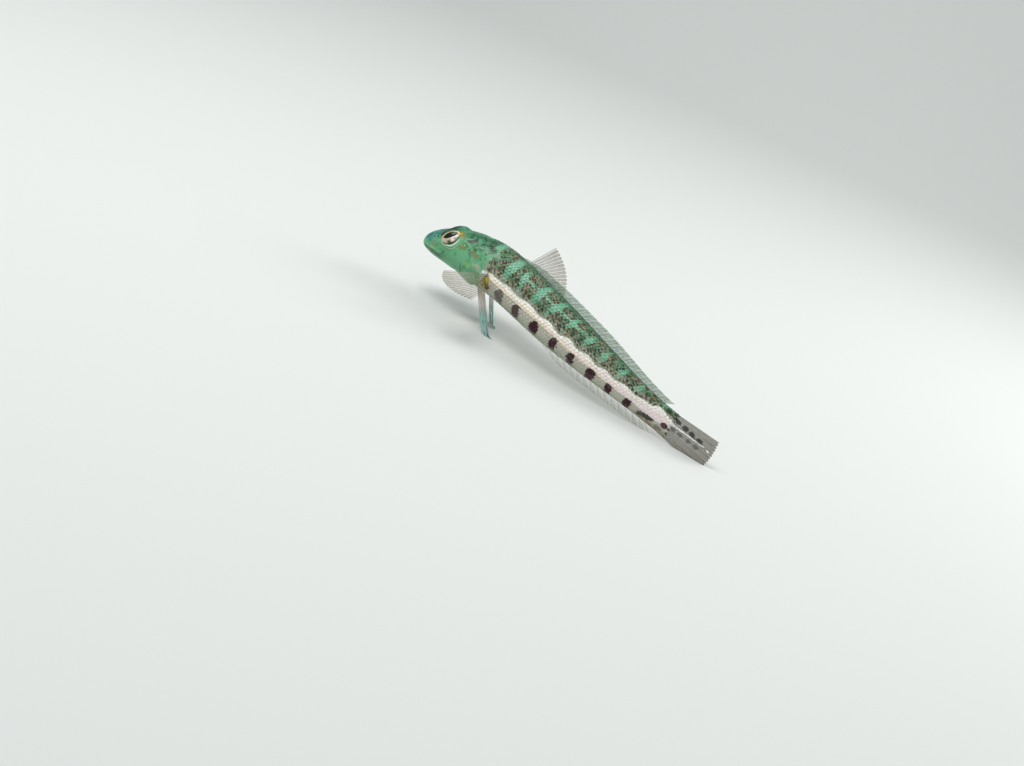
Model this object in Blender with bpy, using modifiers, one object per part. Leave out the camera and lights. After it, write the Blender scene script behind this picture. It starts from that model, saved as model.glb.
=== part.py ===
"""A java sandperch, a small sea fish that lives on the bottom, life size.

It rests on the tips of its pelvic fins, on its anal fin and on the lower corner of its tail fin, with its
head raised and its pectoral fins spread. The head points along -X and its left side faces -Y. Sizes are in
metres, +Z is up. Lengths along the body are given as shares of the standard length, which runs from the snout
to the root of the tail fin. Heights and widths of the body are shares of the standard length too.
"""

import math

import bmesh
import bpy
import numpy as np
from mathutils import Vector

# The whole fish
STANDARD_LENGTH = 0.148
GAP = 0.0003
TRUNK_PITCH = math.radians(10.0)
HEAD_DROP = math.radians(27.0)
HEAD_TURN = math.radians(23.0)
TAIL_TURN = math.radians(9.0)
NECK = 0.30
WAIST = 0.45
NECK_HEIGHT = 0.0255

# Share of the length, height above the axis, depth below it, half width
BODY_PROFILE = (
    (0.000, 0.0015, 0.0015, 0.014),
    (0.010, 0.022, 0.021, 0.031),
    (0.030, 0.036, 0.034, 0.044),
    (0.060, 0.049, 0.046, 0.054),
    (0.100, 0.060, 0.057, 0.063),
    (0.140, 0.070, 0.066, 0.070),
    (0.200, 0.079, 0.075, 0.077),
    (0.270, 0.085, 0.073, 0.080),
    (0.360, 0.086, 0.066, 0.078),
    (0.500, 0.082, 0.066, 0.070),
    (0.620, 0.074, 0.060, 0.058),
    (0.750, 0.062, 0.051, 0.043),
    (0.860, 0.052, 0.043, 0.029),
    (0.950, 0.047, 0.040, 0.017),
    (1.000, 0.048, 0.041, 0.011),
)
SQUARENESS = 2.2

# Cuts between the lengths of the body
TRUNK_CUTS = (0.42, 0.63, 0.84)
TAIL_ROOT = 1.0
TOOL_FROM = 0.20
TOOL_RINGS = 14
GILL_EDGE_FOLLOWED_TO = 0.75
RING_STEP = 0.028
BODY_SIDES = 40
HEAD_RINGS = 34
HEAD_CROWDING = 0.45
SHARP_EDGE = math.radians(50.0)

# Gill opening, which is also where the head meets the trunk
GILL_MIDDLE = 0.245
GILL_FLAP_REACH = 0.034
GILL_FLAP_ANGLE = math.radians(4.0)
GILL_FLAP_SPREAD = math.radians(38.0)
GILL_THROAT_REACH = -0.045
GILL_THROAT_ANGLES = (math.radians(-30.0), math.radians(-85.0))
GILL_FLAP_LIFT = 0.0009
GILL_FLAP_LENGTH = 0.07
CHEEK_EDGE_FROM_GILL = 0.080
CHEEK_GROOVE = 0.0005
CHEEK_GROOVE_WIDTH = 0.009
COVER_FADE_BELOW = (-88.0, -60.0)
COVER_FADE_ABOVE = (22.0, 45.0)

# Soft shapes of the head: places and widths are a share of the length and degrees round the body
CHEEK_LIFT = 0.0006
CHEEK_PLACE = (0.165, -12.0)
CHEEK_WIDTHS = (0.05, 24.0)
BETWEEN_EYES_DIP = 0.0006
BETWEEN_EYES_WIDTHS = (0.04, 16.0)

# Mouth
MOUTH_LENGTH = 0.078
MOUTH_FRONT_ANGLE = math.radians(-8.0)
MOUTH_CORNER_ANGLE = math.radians(-27.0)
MOUTH_DEPTH = 0.0013
MOUTH_HALF_HEIGHT = 0.00045
MOUTH_INSET = 0.008
LIP_LIFT = 0.0007
LIP_START = 0.014
LIP_FROM_LINE = 9.0
LIP_WIDTH = 7.0
LIP_FADE = (0.8, 1.2)
MOUTH_FADE = (0.85, 1.05)
MOUTH_COLUMN_SHARE = 0.40
MOUTH_COLUMN_FADE = 1.6
NARROWEST_HALF_WIDTH = 0.01

# Eyes
EYE_RADIUS = 0.0044
EYE_HALF_DEPTH = 0.0030
EYE_SHARE = 0.098
EYE_ANGLE = math.radians(41.5)
EYE_FROM_AXIS = 0.0590
EYE_FORWARD = math.radians(17.0)
EYE_MOUND = 0.0010
EYE_MOUND_WIDTHS = (0.042, 27.0)
EYE_RIM_RADIUS = 0.0042
EYE_RIM_HALF_THICKNESS = 0.0008

# Nostrils
NOSTRIL_RADIUS = 0.00035
NOSTRIL_RIM = 0.0007
NOSTRIL_HEIGHT = 0.0004
NOSTRIL_DEPTH = 0.0008
NOSTRIL_TAPER = 0.8
NOSTRILS = ((0.040, math.radians(40.0)), (0.056, math.radians(37.0)))

# Fins
MEMBRANE = 0.0005
RAY = 0.0009
NOTCH = 0.02
RAY_TAPER = 0.35
FIN_ROOT_SHARE = 0.2
FAN_ROWS = (0.0, 0.12, 0.3, 0.5, 0.7, 0.86, 1.0)
DORSAL_FROM = 0.285
DORSAL_TO = 0.945
DORSAL_SPINES = 5
DORSAL_RAYS = 21
DORSAL_HEIGHT = 0.0036
DORSAL_LEAN = 1.6
DORSAL_DRAPE = 0.45
DORSAL_FRONT_HEIGHT = 0.2
DORSAL_REAR_DROP = 0.45
SPINE_CROWDING = 0.6
ANAL_FROM = 0.50
ANAL_TO = 0.935
ANAL_RAYS = 17
ANAL_HEIGHT = 0.0036
ANAL_LEAN = 1.2
ANAL_FRONT_HEIGHT = 0.3
ANAL_FRONT_SHARE = 0.2
CAUDAL_RAYS = 13
CAUDAL_LENGTH = 0.0225
CAUDAL_ROOT = 0.0013
CAUDAL_PLEAT = 0.00035
CAUDAL_BASE_SHARE = 0.92
CAUDAL_ROUNDING = 0.05
CAUDAL_SPREAD = 0.0024
PECTORAL_RAYS = 17
PECTORAL_LENGTH = 0.0300
PECTORAL_BASE = 0.0017
PECTORAL_SHARES = (0.2855, 0.3055)
PECTORAL_ANGLES = (math.radians(4.0), math.radians(-30.0))
PECTORAL_SAG = 0.0010
PECTORAL_ROUNDING = 0.35
PECTORAL_ARCH = (0.20, 0.85)
PECTORAL_FULLNESS = 0.8
FIN_SINK = 0.0012

# Directions of the first, middle and last ray of each pectoral fin: to the tail, to the side and up
LEFT_PECTORAL = ((-0.24, -0.97, 0.03), (0.00, -1.00, 0.03), (0.33, -0.94, 0.06))
RIGHT_PECTORAL = ((0.06, -0.86, 0.51), (0.30, -0.93, 0.22), (0.58, -0.81, -0.03))

# How far the first and the last ray of each pelvic fin reach to the tail, and then to the side
LEFT_PELVIC = ((0.0162, 0.0165), (0.0030, 0.0042))
RIGHT_PELVIC = ((0.0080, 0.0095), (0.0030, 0.0000))
PELVIC_RAYS = 6
PELVIC_BASE = 0.0013
PELVIC_SHARES = (0.240, 0.270)
PELVIC_ANGLES = (math.radians(-60.0), math.radians(-71.0))
PELVIC_LONGEST = 0.0012
PELVIC_BOW = 0.08
PELVIC_BEND = 0.86

# Plain finishes
HEAD_COLOUR = (0.36, 0.50, 0.42)
TRUNK_COLOUR = (0.52, 0.56, 0.48)
EYE_COLOUR = (0.55, 0.60, 0.45)
FIN_COLOUR = (0.70, 0.75, 0.72)
CUTTER_COLOUR = (0.20, 0.20, 0.20)
SKIN_ROUGHNESS = 0.45
FIN_ROUGHNESS = 0.35
EYE_ROUGHNESS = 0.10

GROUP = "java_sandperch"
CUTTERS = "cutters"


def smooth_curve(xs, ys):
    """A function through the points in cubic pieces, with slopes limited so that it doesn't overshoot."""
    xs = np.asarray(xs, float)
    ys = np.asarray(ys, float)
    steps = np.diff(xs)
    rises = np.diff(ys) / steps
    slopes = np.concatenate(([rises[0]], (rises[1:] + rises[:-1]) / 2, [rises[-1]]))
    for i in range(1, len(xs) - 1):
        if rises[i - 1] * rises[i] <= 0:
            slopes[i] = 0.0
        else:
            limit = 3 * min(abs(rises[i - 1]), abs(rises[i]))
            slopes[i] = math.copysign(min(abs(slopes[i]), limit), rises[i])

    def value(x):
        i = int(np.clip(np.searchsorted(xs, x) - 1, 0, len(steps) - 1))
        t = (x - xs[i]) / steps[i]
        rest = 1 - t
        ends = ys[i] * (1 + 2 * t) * rest * rest + ys[i + 1] * (3 - 2 * t) * t * t
        bows = slopes[i] * t * rest * rest - slopes[i + 1] * t * t * rest
        return ends + bows * steps[i]

    return value


def smooth_step(low, high, x):
    """0 below low, 1 above high, with a soft rise between."""
    t = min(max((x - low) / (high - low), 0.0), 1.0)
    return t * t * (3 - 2 * t)


def hump(x, centre, width):
    """A bell of height 1 round the centre."""
    return math.exp(-(((x - centre) / width) ** 2))


ROOTS_OF_SHARES = [math.sqrt(row[0]) for row in BODY_PROFILE]
TOP = smooth_curve(ROOTS_OF_SHARES, [row[1] for row in BODY_PROFILE])
BOTTOM = smooth_curve(ROOTS_OF_SHARES, [row[2] for row in BODY_PROFILE])
HALF_WIDTH = smooth_curve(ROOTS_OF_SHARES, [row[3] for row in BODY_PROFILE])


def axis_headings(shares):
    """The direction of the body's axis, towards the tail, at each share of its length."""
    front = np.clip((NECK - shares) / NECK, 0, None)
    rear = np.clip((shares - WAIST) / (1 - WAIST), 0, None)
    pitch = TRUNK_PITCH - HEAD_DROP * front
    turn = HEAD_TURN * front + TAIL_TURN * rear
    return np.stack([np.cos(pitch) * np.cos(turn), np.cos(pitch) * np.sin(turn), -np.sin(pitch)], axis=1)


AXIS_SHARES = np.linspace(-0.05, 1.25, 521)
AXIS_HEADINGS = axis_headings(AXIS_SHARES)
AXIS_STEPS = (AXIS_HEADINGS[1:] + AXIS_HEADINGS[:-1]) / 2 * np.diff(AXIS_SHARES)[:, None] * STANDARD_LENGTH
AXIS_POINTS = np.concatenate((np.zeros((1, 3)), np.cumsum(AXIS_STEPS, axis=0)))
AXIS_POINTS -= [np.interp(NECK, AXIS_SHARES, AXIS_POINTS[:, k]) for k in range(3)]
AXIS_POINTS[:, 2] += NECK_HEIGHT


def axis_at(share):
    """The axis point at a share of the length, and the ways to the tail, the fish's left and its back."""
    centre = Vector([np.interp(share, AXIS_SHARES, AXIS_POINTS[:, k]) for k in range(3)])
    along = Vector([np.interp(share, AXIS_SHARES, AXIS_HEADINGS[:, k]) for k in range(3)]).normalized()
    left = Vector((0, 0, 1)).cross(-along).normalized()
    up = (-along).cross(left)
    return centre, along, left, up


def gill_edge(angle):
    """Where the gill cover ends, as a share of the length: furthest back at the flap, less at the throat."""
    flap = GILL_FLAP_REACH * hump(angle, GILL_FLAP_ANGLE, GILL_FLAP_SPREAD)
    throat = GILL_THROAT_REACH * smooth_step(*GILL_THROAT_ANGLES, angle)
    return GILL_MIDDLE + flap + throat


def mouth_angle(share):
    """The angle of the mouth line round the snout at a share of the length."""
    t = min(max(share / MOUTH_LENGTH, 0.0), 1.0)
    return MOUTH_FRONT_ANGLE + (MOUTH_CORNER_ANGLE - MOUTH_FRONT_ANGLE) * t


def mound(share, degrees, place, widths):
    """A round bell of height 1 on the skin, at a share of the length and degrees round the body."""
    return hump(share, place[0], widths[0]) * hump(degrees, place[1], widths[1])


def relief(share, angle):
    """How far the head's surface stands out of its plain section, in metres."""
    degrees = math.degrees(angle)
    eye_place = (EYE_SHARE, math.degrees(EYE_ANGLE))
    eye = EYE_MOUND * mound(share, degrees, eye_place, EYE_MOUND_WIDTHS)
    between_eyes = -BETWEEN_EYES_DIP * mound(share, degrees, (EYE_SHARE, 90.0), BETWEEN_EYES_WIDTHS)
    cheek = CHEEK_LIFT * mound(share, degrees, CHEEK_PLACE, CHEEK_WIDTHS)
    cover_start = gill_edge(angle) - GILL_FLAP_LENGTH
    on_cover = smooth_step(*COVER_FADE_BELOW, degrees) * (1 - smooth_step(*COVER_FADE_ABOVE, degrees))
    cover = GILL_FLAP_LIFT * smooth_step(cover_start, cover_start + GILL_FLAP_LENGTH, share) * on_cover
    groove_at = gill_edge(angle) - CHEEK_EDGE_FROM_GILL
    groove = -CHEEK_GROOVE * hump(share, groove_at, CHEEK_GROOVE_WIDTH) * on_cover
    lip_fade = 1 - smooth_step(*LIP_FADE, share / MOUTH_LENGTH)
    from_mouth = degrees - math.degrees(mouth_angle(share))
    lip_fade *= smooth_step(0.0, LIP_START, share)
    lip = LIP_LIFT * hump(abs(from_mouth), LIP_FROM_LINE, LIP_WIDTH) * lip_fade
    return eye + between_eyes + cheek + cover + groove + lip


def skin_point(share, angle, lift=0.0, side=1.0):
    """A point of the body's surface: angle 0 is the flank, 90 degrees the back and -90 the belly."""
    centre, _, left, up = axis_at(share)
    root = math.sqrt(max(share, 0.0))
    power = 2 / SQUARENESS
    across = abs(math.cos(angle)) ** power * HALF_WIDTH(root) * STANDARD_LENGTH
    height = TOP(root) if angle >= 0 else -BOTTOM(root)
    rise = abs(math.sin(angle)) ** power * height * STANDARD_LENGTH
    outward = Vector((math.cos(angle), math.sin(angle)))
    extra = lift + (relief(share, angle) if share < GILL_MIDDLE + GILL_FLAP_REACH else 0.0)
    across += outward.x * extra
    rise += outward.y * extra
    return centre + left * (across * side) + up * rise


def ring(share_of, angle_of, sides, lift_of=None):
    """One closed ring of skin points, from the belly up the left side and down the right one."""
    half = sides // 2
    steps = [(k, 1.0) for k in range(half + 1)] + [(k, -1.0) for k in range(half - 1, 0, -1)]
    points = []
    for k, side in steps:
        angle = angle_of(k / half)
        share = share_of(angle)
        lift = lift_of(angle) if lift_of else 0.0
        points.append(skin_point(share, angle, lift, side))
    return points


def even_angle(t):
    """The angle at a share t of the way from the belly to the back."""
    return math.pi * (t - 0.5)


def new_object(name, bm, colour, roughness):
    """Links a mesh object with its own plain material to the fish's collection."""
    mesh = bpy.data.meshes.new(name)
    bm.to_mesh(mesh)
    bm.free()
    mesh.shade_smooth()
    mesh.set_sharp_from_angle(angle=SHARP_EDGE)
    finish = bpy.data.materials.new(name)
    finish.use_nodes = True
    shader = finish.node_tree.nodes["Principled BSDF"]
    shader.inputs["Base Color"].default_value = (*colour, 1.0)
    shader.inputs["Roughness"].default_value = roughness
    shader.inputs["Metallic"].default_value = 0.0
    mesh.materials.append(finish)
    made = bpy.data.objects.new(name, mesh)
    bpy.data.collections[GROUP].objects.link(made)
    return made


def loft(name, rings, front, back, colour):
    """A closed solid through the rings, with a fan of faces to a point at each end."""
    bm = bmesh.new()
    rows = [[bm.verts.new(p) for p in points] for points in rings]
    sides = len(rows[0])
    for one, other in zip(rows, rows[1:]):
        for k in range(sides):
            after = (k + 1) % sides
            bm.faces.new((one[k], one[after], other[after], other[k]))
    for row, tip in ((rows[0], front), (rows[-1], back)):
        centre = bm.verts.new(tip)
        for k in range(sides):
            bm.faces.new((row[k], row[(k + 1) % sides], centre))
    bmesh.ops.recalc_face_normals(bm, faces=bm.faces)
    return new_object(name, bm, colour, SKIN_ROUGHNESS)


def under_cover(share_of):
    """The lift that takes the gill cover's thickness away again, for what lies under its edge."""

    def lift_of(angle):
        share = share_of(angle)
        return -relief(share, angle) if share < GILL_MIDDLE + GILL_FLAP_REACH else 0.0

    return lift_of


def head_ring(step):
    """One ring of the head: its points close up on the mouth line, and its rear follows the gill edge."""
    t = step / HEAD_RINGS
    plain = GILL_MIDDLE * (HEAD_CROWDING * t * t + (1 - HEAD_CROWDING) * t)
    follow = smooth_step(HEAD_CROWDING, 1.0, t)
    half = BODY_SIDES // 2
    mouth_step = round(half * MOUTH_COLUMN_SHARE)
    root = math.sqrt(plain)
    radius = max(HALF_WIDTH(root), NARROWEST_HALF_WIDTH) * STANDARD_LENGTH
    pinch = 1 - smooth_step(1.0, MOUTH_COLUMN_FADE, plain / MOUTH_LENGTH)
    spread = MOUTH_HALF_HEIGHT / radius

    def angle_of(u):
        k = round(u * half)
        even = even_angle(u)
        line = mouth_angle(plain)
        if abs(k - mouth_step) <= 1:
            target = line + spread * (k - mouth_step)
        elif k < mouth_step:
            low = line - spread
            target = -math.pi / 2 + (low + math.pi / 2) * k / (mouth_step - 1)
        else:
            high = line + spread
            target = math.pi / 2 - (math.pi / 2 - high) * (half - k) / (half - mouth_step - 1)
        return even + (target - even) * pinch

    def share_of(angle):
        return plain + (gill_edge(angle) - GAP / 2 / STANDARD_LENGTH - GILL_MIDDLE) * follow

    def lift_of(angle):
        in_line = abs(angle - mouth_angle(plain)) < spread / 2
        open_part = 1 - smooth_step(*MOUTH_FADE, plain / MOUTH_LENGTH)
        return -MOUTH_DEPTH * open_part * smooth_step(0.0, LIP_START / 2, plain) if in_line else 0.0

    return ring(share_of, angle_of, BODY_SIDES, lift_of)


def eye_outward(side):
    """The way an eye looks: to the side, up and a little forward."""
    _, along, left, up = axis_at(EYE_SHARE)
    sideways = left * (side * math.cos(EYE_ANGLE)) + up * math.sin(EYE_ANGLE)
    return sideways * math.cos(EYE_FORWARD) - along * math.sin(EYE_FORWARD)


def eye_centre(side):
    """Where the eyeball's centre sits on one side."""
    centre, _, left, up = axis_at(EYE_SHARE)
    reach = EYE_FROM_AXIS * STANDARD_LENGTH
    return centre + left * (side * reach * math.cos(EYE_ANGLE)) + up * (reach * math.sin(EYE_ANGLE))


def eyeball(name, side, grow, colour):
    """An eyeball, a ball that is flattened along the way it looks, from a sphere primitive."""
    bm = bmesh.new()
    bmesh.ops.create_uvsphere(bm, u_segments=24, v_segments=14, radius=1.0)
    across = EYE_RADIUS + grow
    bmesh.ops.scale(bm, vec=(across, across, EYE_HALF_DEPTH + grow), verts=bm.verts)
    turn = eye_outward(side).to_track_quat("Z", "Y").to_matrix()
    bmesh.ops.rotate(bm, matrix=turn, verts=bm.verts)
    made = new_object(name, bm, colour, EYE_ROUGHNESS)
    made.location = eye_centre(side)
    return made


def eye_rim(side, word):
    """The fleshy ring round an eye, from a torus primitive."""
    bpy.ops.mesh.primitive_torus_add(
        major_segments=32,
        minor_segments=10,
        major_radius=EYE_RIM_RADIUS,
        minor_radius=EYE_RIM_HALF_THICKNESS,
    )
    made = bpy.context.object
    made.name = "eye_rim_" + word
    made.location = eye_centre(side)
    made.rotation_mode = "QUATERNION"
    made.rotation_quaternion = eye_outward(side).to_track_quat("Z", "Y")
    return as_cutter(made)


def as_cutter(made):
    """Moves an object to the cutters' collection, where it only shows as wire."""
    for holder in list(made.users_collection):
        holder.objects.unlink(made)
    bpy.data.collections[CUTTERS].objects.link(made)
    made.hide_render = True
    made.display_type = "WIRE"
    return made


def combine(target, tool, operation):
    """Joins the tool's shape to the target, or takes it out."""
    modifier = target.modifiers.new(tool.name, "BOOLEAN")
    modifier.operation = operation
    modifier.solver = "EXACT"
    modifier.object = tool


def nostril_tool(name, share, angle, side, radius, outer):
    """A round peg across the skin at a nostril, from its depth below the surface to outer above it."""
    bm = bmesh.new()
    ends = {"radius1": radius, "radius2": radius * NOSTRIL_TAPER}
    bmesh.ops.create_cone(bm, cap_ends=True, segments=10, depth=outer + NOSTRIL_DEPTH, **ends)
    peg = as_cutter(new_object(name, bm, CUTTER_COLOUR, SKIN_ROUGHNESS))
    surface = skin_point(share, angle, 0.0, side)
    outward = (skin_point(share, angle, outer, side) - surface).normalized()
    peg.location = surface + outward * ((outer - NOSTRIL_DEPTH) / 2)
    peg.rotation_mode = "QUATERNION"
    peg.rotation_quaternion = outward.to_track_quat("Z", "Y")
    return peg


def make_head():
    """The head with its mouth line, lips, gill covers, eye sockets and nostrils."""
    rings = [head_ring(step) for step in range(HEAD_RINGS + 1)]

    def cover_end(angle):
        return gill_edge(angle) - GAP / 2 / STANDARD_LENGTH

    rings.append(ring(cover_end, even_angle, BODY_SIDES, under_cover(cover_end)))
    front = axis_at(MOUTH_INSET)[0]
    back = axis_at(GILL_MIDDLE - GAP / 2 / STANDARD_LENGTH)[0]
    head = loft("head", rings, front, back, HEAD_COLOUR)
    for side, word in ((1.0, "left"), (-1.0, "right")):
        combine(head, eye_rim(side, word), "UNION")
        combine(head, as_cutter(eyeball("socket_" + word, side, GAP, CUTTER_COLOUR)), "DIFFERENCE")
        for number, (share, angle) in enumerate(NOSTRILS):
            place = (share, angle, side)
            rim = nostril_tool(f"rim_{word}_{number}", *place, NOSTRIL_RIM, NOSTRIL_HEIGHT)
            combine(head, rim, "UNION")
            pit = nostril_tool(f"pit_{word}_{number}", *place, NOSTRIL_RADIUS, 2 * NOSTRIL_HEIGHT)
            combine(head, pit, "DIFFERENCE")
        eyeball("eye_" + word, side, 0.0, EYE_COLOUR)
    return head


def make_trunk():
    """The trunk in three lengths and the tail stalk, each a solid of its own with thin gaps between."""
    half_gap = GAP / 2 / STANDARD_LENGTH
    names = ("trunk_front", "trunk_middle", "trunk_rear", "tail_stalk")
    ends = TRUNK_CUTS + (TAIL_ROOT,)
    start = None
    for name, end in zip(names, ends):
        low = GILL_MIDDLE if start is None else start
        count = max(3, round((end - low) / RING_STEP))
        rings = []
        for step in range(count + 1):
            t = step / count
            place = low + half_gap + (end - low - 2 * half_gap) * t

            def share_of(angle, place=place, t=t):
                follow = 1 - smooth_step(0.0, GILL_EDGE_FOLLOWED_TO, t)
                return place + (gill_edge(angle) - GILL_MIDDLE) * (follow if start is None else 0.0)

            rings.append(ring(share_of, even_angle, BODY_SIDES, under_cover(share_of)))
        front = axis_at(low + half_gap)[0]
        back = axis_at(end - half_gap)[0]
        loft(name, rings, front, back, TRUNK_COLOUR)
        start = end


def fin_thickness(on_ray, v, root):
    """Thickness of a fin at a share v of the way from root to margin, on a ray or on the skin between."""
    plain = RAY * (1 - RAY_TAPER * v) if on_ray else MEMBRANE
    return plain + max(root - plain, 0.0) * (1 - smooth_step(0.0, FIN_ROOT_SHARE, v))


def fin(name, surface, rays, rows, root=RAY, offset=0.0):
    """A fin: a sheet surface(u, v), u across its rays and v from root to margin, thickened with ridges."""
    bm = bmesh.new()
    columns = 2 * rays - 1
    grid = []
    for c in range(columns):
        u = c / (columns - 1)
        on_ray = c % 2 == 0
        grid.append([bm.verts.new(surface(u, v if on_ray else v * (1 - NOTCH * v))) for v in rows])
    for c in range(columns - 1):
        for r in range(len(rows) - 1):
            a, b, d, e = grid[c][r], grid[c + 1][r], grid[c + 1][r + 1], grid[c][r + 1]
            bm.faces.new((a, b, d))
            bm.faces.new((a, d, e))
    bm.verts.index_update()
    bm.normal_update()
    if offset and sum(face.normal.z for face in bm.faces) < 0:
        bmesh.ops.reverse_faces(bm, faces=bm.faces)
    weights = {}
    for c in range(columns):
        for r, v in enumerate(rows):
            weights[grid[c][r].index] = fin_thickness(c % 2 == 0, v, root) / root
    made = new_object(name, bm, FIN_COLOUR, FIN_ROUGHNESS)
    group = made.vertex_groups.new(name="thickness")
    for index, weight in weights.items():
        group.add([index], weight, "REPLACE")
    shell = made.modifiers.new("thickness", "SOLIDIFY")
    shell.thickness = root
    shell.offset = offset
    shell.vertex_group = "thickness"
    shell.use_even_offset = False
    return made


def rest_on_floor(made):
    """Sets what would reach below the floor on it, once the sheet has its thickness: small flats are left."""
    bpy.context.view_layer.update()
    solid = bpy.data.meshes.new_from_object(made.evaluated_get(bpy.context.evaluated_depsgraph_get()))
    made.modifiers.clear()
    for vertex in solid.vertices:
        vertex.co.z = max(vertex.co.z, 0.0)
    made.data = solid


def ray_height(t, spines):
    """Height of the dorsal fin's margin at a share t of its base, as a share of its full height."""
    front = between((DORSAL_FRONT_HEIGHT, 1.0), smooth_step(0.0, spines, t))
    rear = 1 - DORSAL_REAR_DROP * smooth_step(0.5, 1.0, t)
    return front * rear


def make_dorsal():
    """The dorsal fin, folded low along the back: five short spines, then soft rays that lean back."""
    rays = DORSAL_SPINES + DORSAL_RAYS
    spiny_share = DORSAL_SPINES / rays * SPINE_CROWDING

    def surface(u, v):
        share = DORSAL_FROM + (DORSAL_TO - DORSAL_FROM) * u
        root = skin_point(share, math.pi / 2, GAP)
        _, along, left, up = axis_at(share)
        height = DORSAL_HEIGHT * ray_height(u, spiny_share)
        point = root + up * (height * v) + along * (DORSAL_LEAN * height * v)
        return point - left * (DORSAL_DRAPE * height * v * v)

    fin("dorsal_fin", surface, rays, (0.0, 0.35, 0.7, 1.0))


def make_anal():
    """The anal fin, folded along the belly, whose rear margin reaches the floor."""

    def surface(u, v):
        share = ANAL_FROM + (ANAL_TO - ANAL_FROM) * u
        root = skin_point(share, -math.pi / 2, GAP)
        _, along, _, up = axis_at(share)
        grown = smooth_step(0.0, ANAL_FRONT_SHARE, u)
        height = ANAL_HEIGHT * between((ANAL_FRONT_HEIGHT, 1.0), grown)
        point = root - up * (height * v) + along * (ANAL_LEAN * height * v)
        point.z = max(point.z, 0.0)
        return point

    rest_on_floor(fin("anal_fin", surface, ANAL_RAYS, (0.0, 0.5, 1.0)))


def make_caudal():
    """The tail fin, half closed and cut off square, with its lower corner on the floor."""
    base = TAIL_ROOT + GAP / STANDARD_LENGTH
    centre, along, left, up = axis_at(base)
    top = TOP(1.0) * STANDARD_LENGTH * CAUDAL_BASE_SHARE
    bottom = BOTTOM(1.0) * STANDARD_LENGTH * CAUDAL_BASE_SHARE

    def surface(u, v):
        height = -bottom + (top + bottom) * u
        across = (u - 0.5) * 2
        length = CAUDAL_LENGTH * (1 - CAUDAL_ROUNDING * across * across)
        pleat = CAUDAL_PLEAT * math.sin(u * math.pi * (CAUDAL_RAYS - 1)) * v
        spread = CAUDAL_SPREAD * across * v
        point = centre + up * (height + spread) + along * (length * v) + left * pleat
        point.z = max(point.z, 0.0)
        return point

    rest_on_floor(fin("caudal_fin", surface, CAUDAL_RAYS, FAN_ROWS, root=CAUDAL_ROOT))


def trunk_tool():
    """The trunk between the gills and the first cut, larger by the gap, to trim fins that grow from it."""
    rings = []
    for share in np.linspace(TOOL_FROM, TRUNK_CUTS[0], TOOL_RINGS):

        def share_of(angle, share=share):
            return float(share)

        def lift_of(angle, share_of=share_of):
            return GAP + under_cover(share_of)(angle)

        rings.append(ring(share_of, even_angle, BODY_SIDES, lift_of))
    made = loft("trunk_tool", rings, axis_at(TOOL_FROM)[0], axis_at(TRUNK_CUTS[0])[0], CUTTER_COLOUR)
    return as_cutter(made)


def direction(vector):
    """A unit vector."""
    return Vector(vector).normalized()


def between(ends, t):
    """The value at a share t of the way between two ends."""
    return ends[0] + (ends[1] - ends[0]) * t


def make_pectoral(side, word, rays, tool):
    """A pectoral fin, a rounded fan spread to the side. rays: ways of the first, middle and last ray."""
    first, middle, last = [direction(ray) for ray in rays]

    def surface(u, v):
        root = skin_point(between(PECTORAL_SHARES, u), between(PECTORAL_ANGLES, u), -FIN_SINK, side)
        ray = first * ((1 - u) * (1 - 2 * u)) + middle * (4 * u * (1 - u)) + last * (u * (2 * u - 1))
        ray = Vector((ray.x, ray.y * side, ray.z)).normalized()
        roundness = math.sin(math.pi * between(PECTORAL_ARCH, u)) ** PECTORAL_FULLNESS
        length = FIN_SINK + PECTORAL_LENGTH * (1 - PECTORAL_ROUNDING + PECTORAL_ROUNDING * roundness)
        return root + ray * (length * v) - Vector((0, 0, PECTORAL_SAG * v * v))

    made = fin("pectoral_fin_" + word, surface, PECTORAL_RAYS, FAN_ROWS, root=PECTORAL_BASE)
    combine(made, tool, "DIFFERENCE")


def make_pelvic(side, word, backs, outs, tool):
    """A pelvic fin: six rays from the throat down to the floor, where their ends lie flat and bear weight.

    backs and outs say how far the first and the last ray reach to the tail and to the side.
    """

    def surface(u, v):
        root = skin_point(between(PELVIC_SHARES, u), between(PELVIC_ANGLES, u), -FIN_SINK, side)
        out = between(outs, u)
        back = between(backs, u) + PELVIC_LONGEST * math.sin(math.pi * u)
        rest = 1 - min(v / PELVIC_BEND, 1.0)
        drop = root.z * rest * (1 - PELVIC_BOW + PELVIC_BOW * rest)
        return Vector((root.x + back * v, root.y - side * out * v, drop))

    made = fin("pelvic_fin_" + word, surface, PELVIC_RAYS, FAN_ROWS, root=PELVIC_BASE, offset=1.0)
    combine(made, tool, "DIFFERENCE")


def centre_on_floor():
    """Moves the fish so that the middle of its box's bottom is at the origin."""
    bpy.context.view_layer.update()
    graph = bpy.context.evaluated_depsgraph_get()
    corners = []
    for made in bpy.data.collections[GROUP].objects:
        shown = made.evaluated_get(graph)
        points = np.empty(len(shown.data.vertices) * 3, np.float32)
        shown.data.vertices.foreach_get("co", points)
        corners.append(points.reshape(-1, 3) + np.array(made.location))
    points = np.concatenate(corners)
    low, high = points.min(axis=0), points.max(axis=0)
    shift = Vector(((low[0] + high[0]) / 2, (low[1] + high[1]) / 2, low[2]))
    print("box", (high - low) * 1000, "lowest", low[2] * 1000)
    for name in (GROUP, CUTTERS):
        for made in bpy.data.collections[name].objects:
            made.location -= shift


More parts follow.
